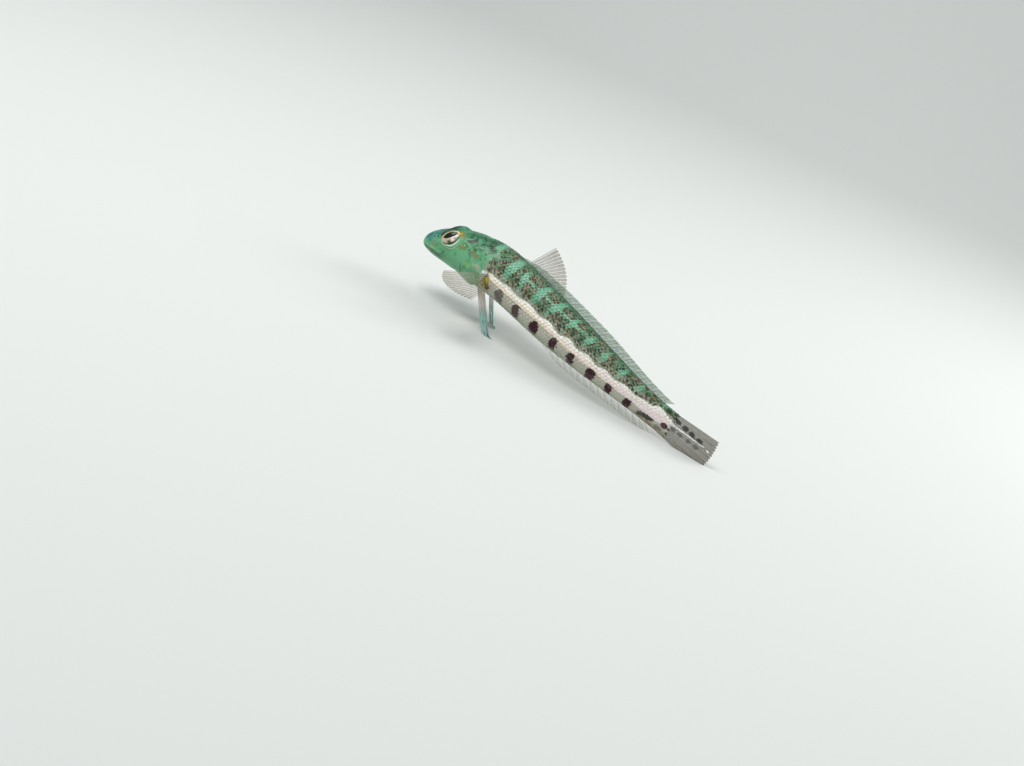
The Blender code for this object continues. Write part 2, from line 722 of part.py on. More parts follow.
def main():
    """Clears the scene and builds every node."""
    for old in list(bpy.data.objects):
        bpy.data.objects.remove(old)
    for name in (GROUP, CUTTERS):
        bpy.context.scene.collection.children.link(bpy.data.collections.new(name))
    make_head()
    make_trunk()
    make_dorsal()
    make_anal()
    make_caudal()
    tool = trunk_tool()
    make_pectoral(1.0, "left", LEFT_PECTORAL, tool)
    make_pectoral(-1.0, "right", RIGHT_PECTORAL, tool)
    make_pelvic(1.0, "left", *LEFT_PELVIC, tool)
    make_pelvic(-1.0, "right", *RIGHT_PELVIC, tool)
    centre_on_floor()


main()
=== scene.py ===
# %% [markdown]
# # A java sandperch at life size
# This lesson dresses the plain solids of a small bottom-living sea fish. The solids give the shape and the
# pose. Here they get a moist skin with its markings, overlapping scales, clear fins with branched rays, and
# living eyes. The solids are loaded first, because every later step measures itself against them.

# %% The frame
import math
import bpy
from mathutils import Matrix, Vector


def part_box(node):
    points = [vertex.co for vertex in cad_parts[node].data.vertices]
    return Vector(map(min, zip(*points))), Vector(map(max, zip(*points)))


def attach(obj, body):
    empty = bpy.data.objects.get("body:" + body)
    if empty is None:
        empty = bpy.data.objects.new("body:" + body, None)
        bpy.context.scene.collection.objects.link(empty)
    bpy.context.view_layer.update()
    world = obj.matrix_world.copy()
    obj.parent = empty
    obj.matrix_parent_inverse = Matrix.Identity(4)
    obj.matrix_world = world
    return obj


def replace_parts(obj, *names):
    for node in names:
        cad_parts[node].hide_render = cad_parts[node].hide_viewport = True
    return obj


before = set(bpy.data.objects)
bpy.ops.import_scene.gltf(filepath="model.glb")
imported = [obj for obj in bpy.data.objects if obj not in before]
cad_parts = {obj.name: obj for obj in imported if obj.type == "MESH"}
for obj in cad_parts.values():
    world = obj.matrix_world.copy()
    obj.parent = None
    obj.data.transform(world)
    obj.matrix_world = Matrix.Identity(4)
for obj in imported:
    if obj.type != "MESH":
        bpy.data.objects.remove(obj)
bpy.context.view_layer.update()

from types import SimpleNamespace

import bpy
import numpy as np
from mathutils import Matrix, Vector

print("nodes:", sorted(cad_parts))

# %% [markdown]
# ## The body as a formula
# A fish is a smooth tube: at each share of its length there is a centre, a height above it, a depth below
# it and a half width. Modelling it by hand with a sculpt tool would give one fixed mesh. A formula gives a
# point for any share and any angle, so that skin, scales and markings can all ask for the same surface. The
# sizes are those of the solids.

# %% Sizes of the body
STANDARD_LENGTH = 0.148
TRUNK_PITCH = math.radians(10.0)
HEAD_DROP = math.radians(27.0)
HEAD_TURN = math.radians(23.0)
TAIL_TURN = math.radians(9.0)
NECK = 0.30
WAIST = 0.45
NECK_HEIGHT = 0.0255
BODY_PROFILE = (
    (0.000, 0.0015, 0.0015, 0.014),
    (0.010, 0.022, 0.021, 0.031),
    (0.030, 0.036, 0.034, 0.044),
    (0.060, 0.049, 0.046, 0.054),
    (0.100, 0.060, 0.057, 0.063),
    (0.140, 0.070, 0.066, 0.070),
    (0.200, 0.079, 0.075, 0.077),
    (0.270, 0.085, 0.073, 0.080),
    (0.360, 0.086, 0.066, 0.078),
    (0.500, 0.082, 0.066, 0.070),
    (0.620, 0.074, 0.060, 0.058),
    (0.750, 0.062, 0.051, 0.043),
    (0.860, 0.052, 0.043, 0.029),
    (0.950, 0.047, 0.040, 0.017),
    (1.000, 0.048, 0.041, 0.011),
)
SQUARENESS = 2.2


def smooth_curve(xs, ys):
    """A function through the points in cubic pieces, with slopes limited so that it doesn't overshoot."""
    xs = np.asarray(xs, float)
    ys = np.asarray(ys, float)
    steps = np.diff(xs)
    rises = np.diff(ys) / steps
    slopes = np.concatenate(([rises[0]], (rises[1:] + rises[:-1]) / 2, [rises[-1]]))
    for i in range(1, len(xs) - 1):
        if rises[i - 1] * rises[i] <= 0:
            slopes[i] = 0.0
        else:
            limit = 3 * min(abs(rises[i - 1]), abs(rises[i]))
            slopes[i] = math.copysign(min(abs(slopes[i]), limit), rises[i])

    def value(x):
        x = np.asarray(x, float)
        i = np.clip(np.searchsorted(xs, x) - 1, 0, len(steps) - 1)
        t = (x - xs[i]) / steps[i]
        rest = 1 - t
        ends = ys[i] * (1 + 2 * t) * rest * rest + ys[i + 1] * (3 - 2 * t) * t * t
        bows = slopes[i] * t * rest * rest - slopes[i + 1] * t * t * rest
        return ends + bows * steps[i]

    return value


def smooth_step(low, high, x):
    """0 below low, 1 above high, with a soft rise between."""
    t = np.clip((np.asarray(x, float) - low) / (high - low), 0.0, 1.0)
    return t * t * (3 - 2 * t)


def hump(x, centre, width):
    """A bell of height 1 round the centre."""
    return np.exp(-(((np.asarray(x, float) - centre) / width) ** 2))


def unit(vectors):
    """The vectors at length 1."""
    vectors = np.asarray(vectors, float)
    return vectors / np.linalg.norm(vectors, axis=-1, keepdims=True)


roots = [math.sqrt(row[0]) for row in BODY_PROFILE]
TOP = smooth_curve(roots, [row[1] for row in BODY_PROFILE])
BOTTOM = smooth_curve(roots, [row[2] for row in BODY_PROFILE])
HALF_WIDTH = smooth_curve(roots, [row[3] for row in BODY_PROFILE])

# %% [markdown]
# ## The axis
# The head looks down and to the left, the trunk slopes down to the tail, and the tail swings a little to
# the right. Adding up short steps along a changing heading gives a smooth bent axis, which a chain of bones
# would only hint at.

# %% The axis and its directions
AXIS_SHARES = np.linspace(-0.05, 1.25, 521)
nape = np.clip((NECK - AXIS_SHARES) / NECK, 0, None)
rear = np.clip((AXIS_SHARES - WAIST) / (1 - WAIST), 0, None)
pitch = TRUNK_PITCH - HEAD_DROP * nape
turn = HEAD_TURN * nape + TAIL_TURN * rear
AXIS_HEADINGS = np.stack([np.cos(pitch) * np.cos(turn), np.cos(pitch) * np.sin(turn), -np.sin(pitch)], axis=1)
axis_steps = (AXIS_HEADINGS[1:] + AXIS_HEADINGS[:-1]) / 2 * np.diff(AXIS_SHARES)[:, None] * STANDARD_LENGTH
AXIS_POINTS = np.concatenate((np.zeros((1, 3)), np.cumsum(axis_steps, axis=0)))
AXIS_POINTS -= [np.interp(NECK, AXIS_SHARES, AXIS_POINTS[:, k]) for k in range(3)]
AXIS_POINTS[:, 2] += NECK_HEIGHT


def axis_at(share):
    """Axis points at shares of the length, and the directions to the tail, the fish's left and its back."""
    share = np.asarray(share, float)
    centre = np.stack([np.interp(share, AXIS_SHARES, AXIS_POINTS[:, k]) for k in range(3)], axis=-1)
    along = unit(np.stack([np.interp(share, AXIS_SHARES, AXIS_HEADINGS[:, k]) for k in range(3)], axis=-1))
    left = unit(np.cross((0.0, 0.0, 1.0), -along))
    up = np.cross(-along, left)
    return centre, along, left, up


# The solids' origin is in the middle of their box. The left eye's solid says how far they were moved.
EYE_RADIUS = 0.0044
EYE_HALF_DEPTH = 0.0030
EYE_SHARE = 0.098
EYE_ANGLE = math.radians(41.5)
EYE_FROM_AXIS = 0.0590
EYE_FORWARD = math.radians(17.0)


def eye_frame(side):
    """The eyeball's centre, the way it looks, and its directions to the snout and to the back of the fish."""
    centre, along, left, up = axis_at(EYE_SHARE)
    sideways = left * (side * math.cos(EYE_ANGLE)) + up * math.sin(EYE_ANGLE)
    outward = unit(sideways * math.cos(EYE_FORWARD) - along * math.sin(EYE_FORWARD))
    upward = unit(np.cross(np.cross(outward, up), outward))
    forward = unit(-along - outward * np.dot(-along, outward))
    return centre + sideways * EYE_FROM_AXIS * STANDARD_LENGTH, outward, forward, upward


eye_box = np.array(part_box("eye_left"))
AXIS_POINTS -= eye_frame(1.0)[0] - eye_box.mean(axis=0)
print("snout of the axis at", np.round(axis_at(0.0)[0] * 1000, 1), "mm")

# %% [markdown]
# ## Relief of the head
# The plain section gets a mound for each eye, a dip between them, a cheek, and a gill cover that stands a
# little proud. A groove runs before the cover. Lips swell on both sides of the mouth line.

# %% Relief of the head
GILL_MIDDLE = 0.245
GILL_FLAP_REACH = 0.034
GILL_FLAP_ANGLE = math.radians(4.0)
GILL_FLAP_SPREAD = math.radians(38.0)
GILL_THROAT_REACH = -0.045
GILL_THROAT_ANGLES = (math.radians(-30.0), math.radians(-85.0))
GILL_FLAP_LIFT = 0.0009
GILL_FLAP_LENGTH = 0.07
CHEEK_EDGE_FROM_GILL = 0.080
CHEEK_GROOVE = 0.0005
CHEEK_GROOVE_WIDTH = 0.009
COVER_FADE_BELOW = (-88.0, -60.0)
COVER_FADE_ABOVE = (22.0, 45.0)
# Places and widths of the soft shapes are a share of the length and degrees round the body
CHEEK_LIFT = 0.0006
CHEEK_PLACE = (0.165, -12.0)
CHEEK_WIDTHS = (0.05, 24.0)
BETWEEN_EYES_DIP = 0.0006
BETWEEN_EYES_WIDTHS = (0.04, 16.0)
MOUTH_LENGTH = 0.078
MOUTH_FRONT_ANGLE = math.radians(-8.0)
MOUTH_CORNER_ANGLE = math.radians(-27.0)
MOUTH_DEPTH = 0.0013
MOUTH_INSET = 0.008
LIP_LIFT = 0.0007
LIP_START = 0.014
LIP_FROM_LINE = 9.0
LIP_WIDTH = 7.0
LIP_FADE = (0.8, 1.2)
EYE_MOUND = 0.0010
EYE_MOUND_WIDTHS = (0.042, 27.0)


def gill_edge(angle):
    """Where the gill cover ends: furthest back at the flap, further forward under the throat."""
    flap = GILL_FLAP_REACH * hump(angle, GILL_FLAP_ANGLE, GILL_FLAP_SPREAD)
    throat = GILL_THROAT_REACH * smooth_step(*GILL_THROAT_ANGLES, angle)
    return GILL_MIDDLE + flap + throat


def mouth_angle(share):
    """The angle of the mouth line round the snout at a share of the length."""
    t = np.clip(share / MOUTH_LENGTH, 0.0, 1.0)
    return MOUTH_FRONT_ANGLE + (MOUTH_CORNER_ANGLE - MOUTH_FRONT_ANGLE) * t


def cover_mask(angle):
    """1 over the gill cover, 0 over the nape and under the throat."""
    degrees = np.degrees(angle)
    return smooth_step(*COVER_FADE_BELOW, degrees) * (1 - smooth_step(*COVER_FADE_ABOVE, degrees))


def mound(share, degrees, place, widths):
    """A bell of height 1 round a place of the head."""
    return hump(share, place[0], widths[0]) * hump(degrees, place[1], widths[1])


def relief(share, angle):
    """How far the head's surface stands out of its plain section, in metres."""
    degrees = np.degrees(angle)
    eye = EYE_MOUND * mound(share, degrees, (EYE_SHARE, math.degrees(EYE_ANGLE)), EYE_MOUND_WIDTHS)
    between_eyes = -BETWEEN_EYES_DIP * mound(share, degrees, (EYE_SHARE, 90.0), BETWEEN_EYES_WIDTHS)
    cheek = CHEEK_LIFT * mound(share, degrees, CHEEK_PLACE, CHEEK_WIDTHS)
    cover_start = gill_edge(angle) - GILL_FLAP_LENGTH
    cover = GILL_FLAP_LIFT * smooth_step(0.0, GILL_FLAP_LENGTH, share - cover_start) * cover_mask(angle)
    groove_place = gill_edge(angle) - CHEEK_EDGE_FROM_GILL
    groove = -CHEEK_GROOVE * hump(share - groove_place, 0.0, CHEEK_GROOVE_WIDTH) * cover_mask(angle)
    lip_fade = 1 - smooth_step(*LIP_FADE, share / MOUTH_LENGTH)
    from_mouth = degrees - np.degrees(mouth_angle(share))
    lip = LIP_LIFT * hump(np.abs(from_mouth), LIP_FROM_LINE, LIP_WIDTH)
    lip = lip * lip_fade * smooth_step(0.0, LIP_START, share)
    return eye + between_eyes + cheek + cover + groove + lip


def skin_points(share, angle, side=1.0, lift=0.0, relief_share=1.0):
    """Points of the body's surface: angle 0 is the flank, a quarter turn the back, minus that the belly."""
    share, angle, side, lift, amount = np.broadcast_arrays(share, angle, side, lift, relief_share)
    centre, _, left, up = axis_at(share)
    root = np.sqrt(np.clip(share, 0.0, None))
    power = 2 / SQUARENESS
    across = np.abs(np.cos(angle)) ** power * HALF_WIDTH(root) * STANDARD_LENGTH
    height = np.where(angle >= 0, TOP(root), -BOTTOM(root))
    rise = np.abs(np.sin(angle)) ** power * height * STANDARD_LENGTH
    extra = lift + relief(share, angle) * amount
    across = across + np.cos(angle) * extra
    rise = rise + np.sin(angle) * extra
    return centre + left * (across * side)[..., None] + up * rise[..., None]


# %% [markdown]
# ## Distance round the body
# Scales keep their size while the body tapers, so whole rows of them end at the back and the belly. For
# this the distance round the body from the middle of the flank is needed at every place. A table of it is
# added up once, and both the scales and the markings read it.

# %% Distance round the body
TABLE_SHARES = np.linspace(0.0, 1.0, 201)
TABLE_ANGLES = np.radians(np.linspace(-90.0, 90.0, 361))
table_points = skin_points(TABLE_SHARES[:, None], TABLE_ANGLES[None, :], relief_share=0.0)
table_steps = np.linalg.norm(np.diff(table_points, axis=1), axis=2)
ARC_TABLE = np.concatenate((np.zeros((len(TABLE_SHARES), 1)), np.cumsum(table_steps, axis=1)), axis=1)
ARC_TABLE -= ARC_TABLE[:, [len(TABLE_ANGLES) // 2]]


def grid_place(values, table):
    """The lower table step of each value and the share of the way to the next one."""
    exact = np.clip((values - table[0]) / (table[1] - table[0]), 0, len(table) - 1.000001)
    whole = exact.astype(int)
    return whole, exact - whole


def arc_at(share, angle):
    """Distance round the body, in metres, from the middle of the flank: upwards is positive."""
    i, s = grid_place(np.asarray(share, float), TABLE_SHARES)
    k, t = grid_place(np.asarray(angle, float), TABLE_ANGLES)
    low = ARC_TABLE[i, k] * (1 - t) + ARC_TABLE[i, k + 1] * t
    high = ARC_TABLE[i + 1, k] * (1 - t) + ARC_TABLE[i + 1, k + 1] * t
    return low * (1 - s) + high * s


def angle_at_arc(share, arc):
    """The angle that lies at a distance round the body."""
    low = np.full(np.broadcast(share, arc).shape, TABLE_ANGLES[0])
    high = np.full_like(low, TABLE_ANGLES[-1])
    for _ in range(22):
        middle = (low + high) / 2
        under = arc_at(share, middle) < arc
        low = np.where(under, middle, low)
        high = np.where(under, high, middle)
    return (low + high) / 2


print("half girth at the gills", round(float(np.ptp(ARC_TABLE[56])) * 1000, 1), "mm")

# %% [markdown]
# ## Scale rows
# A sandperch has about sixty scales along its side. Rows and columns of this lattice are numbers that grow
# along and round the body. The scales are placed by them, and so are the small dark dashes of the back.

# %% Scale rows
ROW_PITCH = 0.0122
column_pitch = smooth_curve((0.0, 0.2, 0.5, 0.8, 1.0), (0.00120, 0.00145, 0.00155, 0.00130, 0.00110))


def lattice(share, angle):
    """Row and column numbers of places on the body."""
    return share / ROW_PITCH, arc_at(share, angle) / column_pitch(share)


# %% [markdown]
# ## From arrays to objects
# Each piece is worked out as arrays of points and becomes a mesh at once. Values that the finishes need,
# such as the place on the body, ride along as named attributes. A map called OFBake spreads each piece
# flat.

# %% Making meshes
def grid_faces(rows, columns, closed=False, start=0):
    """Quads between the points of a grid that is stored row by row."""
    across = columns if closed else columns - 1
    r, c = np.meshgrid(np.arange(rows - 1), np.arange(across), indexing="ij")
    after = (c + 1) % columns
    near, far = r * columns + start, (r + 1) * columns + start
    return np.stack([near + c, near + after, far + after, far + c], axis=-1).reshape(-1, 4).tolist()


def grid_rim(rows, columns):
    """The points of a grid's border, once round it."""
    rim = list(range(columns))
    rim += [r * columns + columns - 1 for r in range(1, rows)]
    rim += [(rows - 1) * columns + c for c in range(columns - 2, -1, -1)]
    return rim + [r * columns for r in range(rows - 2, 0, -1)]


def capped_faces(rings, columns):
    """Faces of closed rings with a fan at each end, whose two tips come after the rings."""
    tip = rings * columns
    last = tip - columns
    faces = grid_faces(rings, columns, closed=True)
    faces += [[(k + 1) % columns, k, tip] for k in range(columns)]
    return faces + [[last + k, last + (k + 1) % columns, tip + 1] for k in range(columns)]


def make_mesh(name, points, faces, values, flat, material):
    """An object from points and faces, with attributes per point and a flat map per point."""
    mesh = bpy.data.meshes.new(name)
    mesh.from_pydata(np.asarray(points, float).reshape(-1, 3).tolist(), [], faces)
    for key, array in values.items():
        attribute = mesh.attributes.new(key, "FLOAT_VECTOR", "POINT")
        attribute.data.foreach_set("vector", np.asarray(array, np.float32).reshape(-1))
    corners = np.empty(len(mesh.loops), np.int32)
    mesh.loops.foreach_get("vertex_index", corners)
    layer = mesh.uv_layers.new(name="OFBake")
    layer.data.foreach_set("uv", np.asarray(flat, np.float32).reshape(-1, 2)[corners].reshape(-1))
    mesh.shade_smooth()
    mesh.materials.append(material)
    made = bpy.data.objects.new(name, mesh)
    bpy.context.scene.collection.objects.link(made)
    print(name, len(mesh.vertices), "points", sum(len(face) - 2 for face in faces), "triangles")
    return made


# %% [markdown]
# ## Shader maths in plain sums
# A material is a sum of masks. Drawing its nodes by hand hides the sum in a web of wires, so a small class
# wraps a socket: adding or multiplying two of them adds the Math node. Colours go through Mix nodes,
# because a Math node would turn them grey.

# %% A socket that can be added and multiplied
class Wire:
    """One output socket of a material's nodes."""

    def __init__(self, tree, socket):
        self.tree = tree
        self.socket = socket

    def node(self, kind, settings=None, inputs=None, output=0):
        """Adds a node of a kind, sets its settings, then its inputs, and returns one of its outputs."""
        made = self.tree.nodes.new(kind)
        for key, value in (settings or {}).items():
            if key == "stops":
                set_stops(made.color_ramp, value)
            else:
                setattr(made, key, value)
        for key, value in (inputs or {}).items():
            if isinstance(value, Wire):
                self.tree.links.new(value.socket, made.inputs[key])
            else:
                made.inputs[key].default_value = value
        return Wire(self.tree, made.outputs[output])

    def math(self, operation, *values):
        return self.node("ShaderNodeMath", {"operation": operation}, dict(enumerate(values)))

    def __add__(self, other):
        return self.math("ADD", self, other)

    def __radd__(self, other):
        return self.math("ADD", other, self)

    def __sub__(self, other):
        return self.math("SUBTRACT", self, other)

    def __rsub__(self, other):
        return self.math("SUBTRACT", other, self)

    def __mul__(self, other):
        return self.math("MULTIPLY", self, other)

    def __rmul__(self, other):
        return self.math("MULTIPLY", other, self)

    def __truediv__(self, other):
        return self.math("DIVIDE", self, other)

    def __rtruediv__(self, other):
        return self.math("DIVIDE", other, self)

    def __abs__(self):
        return self.math("ABSOLUTE", self)

    def squared(self):
        return self.math("MULTIPLY", self, self)

    def root(self):
        return self.math("SQRT", self)

    def floor(self):
        return self.math("FLOOR", self)

    def fraction(self):
        return self.math("FRACT", self)

    def least(self, other):
        return self.math("MINIMUM", self, other)

    def most(self, other):
        return self.math("MAXIMUM", self, other)

    def clamped(self, low=0.0, high=1.0):
        return self.most(low).least(high)

    def rise(self, low, high):
        """0 below low, 1 above high, with a soft rise between."""
        settings = {"interpolation_type": "SMOOTHSTEP"}
        return self.node("ShaderNodeMapRange", settings, {"Value": self, "From Min": low, "From Max": high})

    def fall(self, low, high):
        """1 below low, 0 above high."""
        return 1.0 - self.rise(low, high)

    def parts(self):
        """The three numbers of a vector."""
        split = self.node("ShaderNodeSeparateXYZ", None, {0: self})
        outputs = split.socket.node.outputs
        return [Wire(self.tree, outputs[k]) for k in range(3)]


def set_stops(ramp, stops):
    """Gives a colour ramp its stops, each a place and a colour."""
    ramp.elements.remove(ramp.elements[1])
    ramp.elements[0].position = stops[0][0]
    ramp.elements[0].color = (*stops[0][1], 1.0)
    for place, colour in stops[1:]:
        ramp.elements.new(place).color = (*colour, 1.0)


def colour_of(red, green, blue):
    """A colour as seen on a screen, 0 to 255, as the linear values that shaders use."""
    seen = [c / 255 for c in (red, green, blue)]
    return tuple(((c + 0.055) / 1.055) ** 2.4 if c > 0.04045 else c / 12.92 for c in seen)


def mixed(mask, under, over):
    """The under colour, with the over colour where the mask is 1."""
    under, over = [colour if isinstance(colour, Wire) else (*colour, 1.0) for colour in (under, over)]
    inputs = {0: mask, 6: under, 7: over}
    return mask.node("ShaderNodeMix", {"data_type": "RGBA", "clamp_factor": True}, inputs, output=2)


def new_finish(name):
    """A material with its node tree and its Principled shader."""
    material = bpy.data.materials.new(name)
    material.use_nodes = True
    return material, material.node_tree, material.node_tree.nodes["Principled BSDF"]


def set_values(shader, **values):
    """Sets plain values of a shader: coat_weight stands for its socket Coat Weight."""
    for key, value in values.items():
        shader.inputs[key.replace("_", " ").title().replace("Ior", "IOR")].default_value = value


def attribute(tree, name):
    """A named vector attribute of the mesh, as three numbers."""
    return Wire(tree, None).node("ShaderNodeAttribute", {"attribute_name": name}, output="Vector")


def noise(place, scale, detail=2.0, roughness=0.5):
    """Noise at a place, about 0 on average."""
    inputs = {"Vector": place, "Scale": scale, "Detail": detail, "Roughness": roughness}
    return place.node("ShaderNodeTexNoise", None, inputs) - 0.5


# %% [markdown]
# ## Markings
# The photo shows a mint green back with brown saddles that are made of short dark dashes, pale bars between
# the saddles, a broad cream stripe along the flank, and a row of dark blotches on the greyish side below
# it. All of them are given by the share of the length and by the distance round the body, so no picture is
# needed. The skin and the scales call the same function and so carry the same markings.

# %% Colours of the skin
MINT = colour_of(74, 136, 102)
PALE_MINT = colour_of(110, 166, 136)
SADDLE_GREEN = colour_of(56, 112, 76)
SADDLE_TAN = colour_of(130, 110, 82)
DASH_GREEN = colour_of(8, 30, 14)
DASH_BROWN = colour_of(64, 26, 14)
STRIPE_FRONT = colour_of(255, 246, 232)
STRIPE_REAR = colour_of(248, 232, 230)
STRIPE_TOP = colour_of(252, 255, 246)
STRIPE_EDGE = colour_of(238, 208, 174)
FLANK = colour_of(188, 186, 170)
FLANK_LOW = colour_of(164, 174, 152)
BELLY = colour_of(196, 202, 186)
BLOTCH = colour_of(58, 14, 26)
BLOTCH_EDGE = colour_of(34, 38, 12)
CHEEK = colour_of(98, 164, 118)
NAPE = colour_of(56, 120, 84)
BROW = colour_of(30, 76, 70)
SNOUT = colour_of(36, 104, 106)
JAW = colour_of(94, 122, 108)
OLIVE = colour_of(116, 112, 14)
ORANGE = colour_of(140, 98, 30)
TAN = colour_of(124, 104, 72)
BROWN = colour_of(48, 26, 12)
DARK_GREEN = colour_of(6, 60, 34)
YELLOW = colour_of(190, 176, 30)
# Lime green of a painted highlight on the gill cover
LIME_PAINTED_HIGHLIGHT = colour_of(130, 190, 108)
CYAN = colour_of(214, 250, 236)
PINK_GREY = colour_of(172, 168, 150)

# %% [markdown]
# The blotches, the pale bars and the edges of the stripe aren't evenly spaced on a real fish. Each is
# written down once as it is in the photo, and a colour ramp looks the values up: a stepped ramp finds the
# nearest blotch or bar, and a smooth one gives the stripe's edges, which bulge between the blotches.

# %% Where the markings lie
# Places along the body are shares of its length, heights are millimetres round it from mid-flank.
# Each blotch: its middle, half its length, its strength
BLOTCHES = (
    (0.353, 0.0175, 0.75),
    (0.425, 0.0160, 0.90),
    (0.503, 0.0175, 1.00),
    (0.579, 0.0140, 1.00),
    (0.648, 0.0125, 1.00),
    (0.722, 0.0155, 1.00),
    (0.790, 0.0130, 1.00),
    (0.860, 0.0130, 1.00),
)
# Each bar: its middle 9 mm above the flank's, how far it leans back with each millimetre, half its length
BARS = (
    (0.254, -0.0005, 0.0110),
    (0.332, -0.0003, 0.0125),
    (0.389, -0.0025, 0.0100),
    (0.455, 0.0002, 0.0110),
    (0.519, 0.0012, 0.0095),
    (0.589, 0.0012, 0.0110),
    (0.662, 0.0016, 0.0125),
    (0.730, 0.0014, 0.0125),
    (0.801, 0.0022, 0.0110),
    (0.873, 0.0030, 0.0125),
    (0.959, 0.0032, 0.0100),
)
# The stripe: a place, its upper and its lower edge there
STRIPE = (
    (0.275, 1.8, 0.4),
    (0.300, 2.4, -0.3),
    (0.340, 2.7, -0.1),
    (0.370, 3.4, 0.0),
    (0.415, 3.1, 0.2),
    (0.450, 4.1, 0.1),
    (0.500, 3.0, 0.5),
    (0.540, 3.9, -0.1),
    (0.578, 2.3, 0.1),
    (0.615, 3.9, -1.0),
    (0.650, 2.5, -0.6),
    (0.690, 3.4, -1.1),
    (0.722, 2.2, -0.6),
    (0.755, 3.2, -1.2),
    (0.790, 2.4, -1.0),
    (0.830, 3.4, -1.3),
    (0.862, 2.6, -0.9),
    (0.900, 3.4, -1.3),
    (0.925, 3.6, -1.3),
    (0.945, 5.1, -1.4),
    (0.970, 4.5, -1.2),
    (1.000, 3.3, 0.2),
)
# A ramp holds numbers from 0 to 1, so wider ones are shifted and shrunk by these
EDGE_SHIFT = 8.0
EDGE_SPAN = 16.0
LEAN_SHIFT = 0.005
LEAN_SPAN = 0.01
HALF_SPAN = 0.05
# Spots of the head: middle, height, half length, half height, colour, strength
HEAD_SPOTS = (
    (0.126, 9.8, 0.0140, 1.9, OLIVE, 0.95),
    (0.119, 8.6, 0.0070, 1.2, YELLOW, 0.80),
    (0.150, 4.7, 0.0120, 0.8, ORANGE, 0.70),
    (0.164, 8.3, 0.0090, 0.55, BROWN, 0.90),
    (0.161, 10.8, 0.0070, 0.8, BROWN, 0.80),
    (0.179, 10.4, 0.0075, 0.75, BROWN, 0.95),
    (0.160, 13.3, 0.0080, 0.8, DARK_GREEN, 0.65),
    (0.145, 12.0, 0.0050, 0.6, DARK_GREEN, 0.60),
    (0.176, 14.2, 0.0100, 1.0, BROWN, 0.45),
    (0.196, 5.0, 0.0080, 0.6, ORANGE, 0.75),
    (0.207, 4.2, 0.0150, 1.3, TAN, 0.65),
    (0.190, 6.6, 0.0050, 1.2, OLIVE, 0.40),
    (0.213, 8.3, 0.0100, 0.55, BROWN, 0.85),
    (0.212, 11.2, 0.0080, 0.7, BROWN, 0.80),
    (0.233, 11.6, 0.0130, 0.9, BROWN, 0.80),
    (0.247, 10.9, 0.0070, 0.8, BROWN, 0.70),
    (0.210, 15.0, 0.0080, 1.0, BROWN, 0.40),
    (0.236, 15.4, 0.0080, 1.0, BROWN, 0.45),
    (0.086, -0.9, 0.0034, 0.55, DARK_GREEN, 0.95),
    # A painted highlight on the gill cover, in lime green
    (0.193, -1.6, 0.0095, 1.2, LIME_PAINTED_HIGHLIGHT, 0.70),
    (0.232, 0.3, 0.0220, 0.9, PINK_GREY, 0.65),
    (0.232, -2.8, 0.0130, 1.2, TAN, 0.45),
    (0.263, 0.6, 0.0060, 0.75, CYAN, 0.95),
    (0.047, 1.0, 0.0110, 1.2, TAN, 0.35),
    (0.035, -1.2, 0.0130, 1.0, PINK_GREY, 0.40),
    (0.060, -2.6, 0.0090, 1.2, PALE_MINT, 0.45),
    (0.281, -3.4, 0.0075, 2.3, YELLOW, 0.85),
    (0.277, -5.7, 0.0070, 1.0, ORANGE, 0.85),
    (0.295, -6.2, 0.0095, 1.2, ORANGE, 0.60),
)
BODY_SPOTS = (
    (0.988, -0.8, 0.0125, 1.35, BLOTCH, 1.00),
    (0.973, 5.6, 0.0090, 0.9, DARK_GREEN, 0.90),
    (0.945, -5.2, 0.0120, 1.2, TAN, 0.60),
    (0.975, -3.6, 0.0140, 1.2, BROWN, 0.45),
)
print(len(BLOTCHES), "blotches,", len(BARS), "bars,", len(HEAD_SPOTS), "spots of the head")


# %% [markdown]
# Each scale of the back may carry one dash, which slants down towards the tail. The cells of a stretched
# pattern give the dashes their places and each its random numbers, so that a dash differs from its
# neighbours.

# %% Small helpers of the markings
DASH_LONG = 2.6
DASH_WIDE = 1.25
DASH_SLANT = (0.77, 0.64)
SIDES_APART = 40.0


def looked_up(share, rows, interpolation):
    """Values of a ramp along the body: each row is a place and three values from 0 to 1."""
    made = share.node("ShaderNodeValToRGB", {"stops": rows}, {"Fac": share})
    made.socket.node.color_ramp.interpolation = interpolation
    return made.parts()


def nearest(rows):
    """Rows of a stepped ramp: each row's values start halfway from the row before it."""
    starts = [0.0] + [(one[0] + other[0]) / 2 for one, other in zip(rows, rows[1:])]
    return [(start, values) for start, (_, values) in zip(starts, rows)]


def spot(share, arc, place, height, length, half_height, soft=0.35):
    """An oval spot, 1 inside, with a soft edge."""
    along = (share - place) * (1 / length)
    across = (arc - height) * (1 / half_height)
    return (along.squared() + across.squared()).fall(1 - soft, 1 + soft)


def dashes(row, column, side):
    """Slanting dashes, about one to a scale: how far the middle of one is, and three random numbers of it."""
    back, up = row * 1.8, column * 1.5
    along = (back * DASH_SLANT[0] - up * DASH_SLANT[1]) * (1 / DASH_LONG) + side * SIDES_APART
    across = (back * DASH_SLANT[1] + up * DASH_SLANT[0]) * (1 / DASH_WIDE)
    place = row.node("ShaderNodeCombineXYZ", None, {0: along, 1: across})
    settings = {"voronoi_dimensions": "2D", "feature": "F1"}
    distance = row.node("ShaderNodeTexVoronoi", settings, {"Vector": place, "Scale": 1.0, "Randomness": 0.7})
    random = Wire(distance.tree, distance.socket.node.outputs["Color"])
    return distance, random.parts()


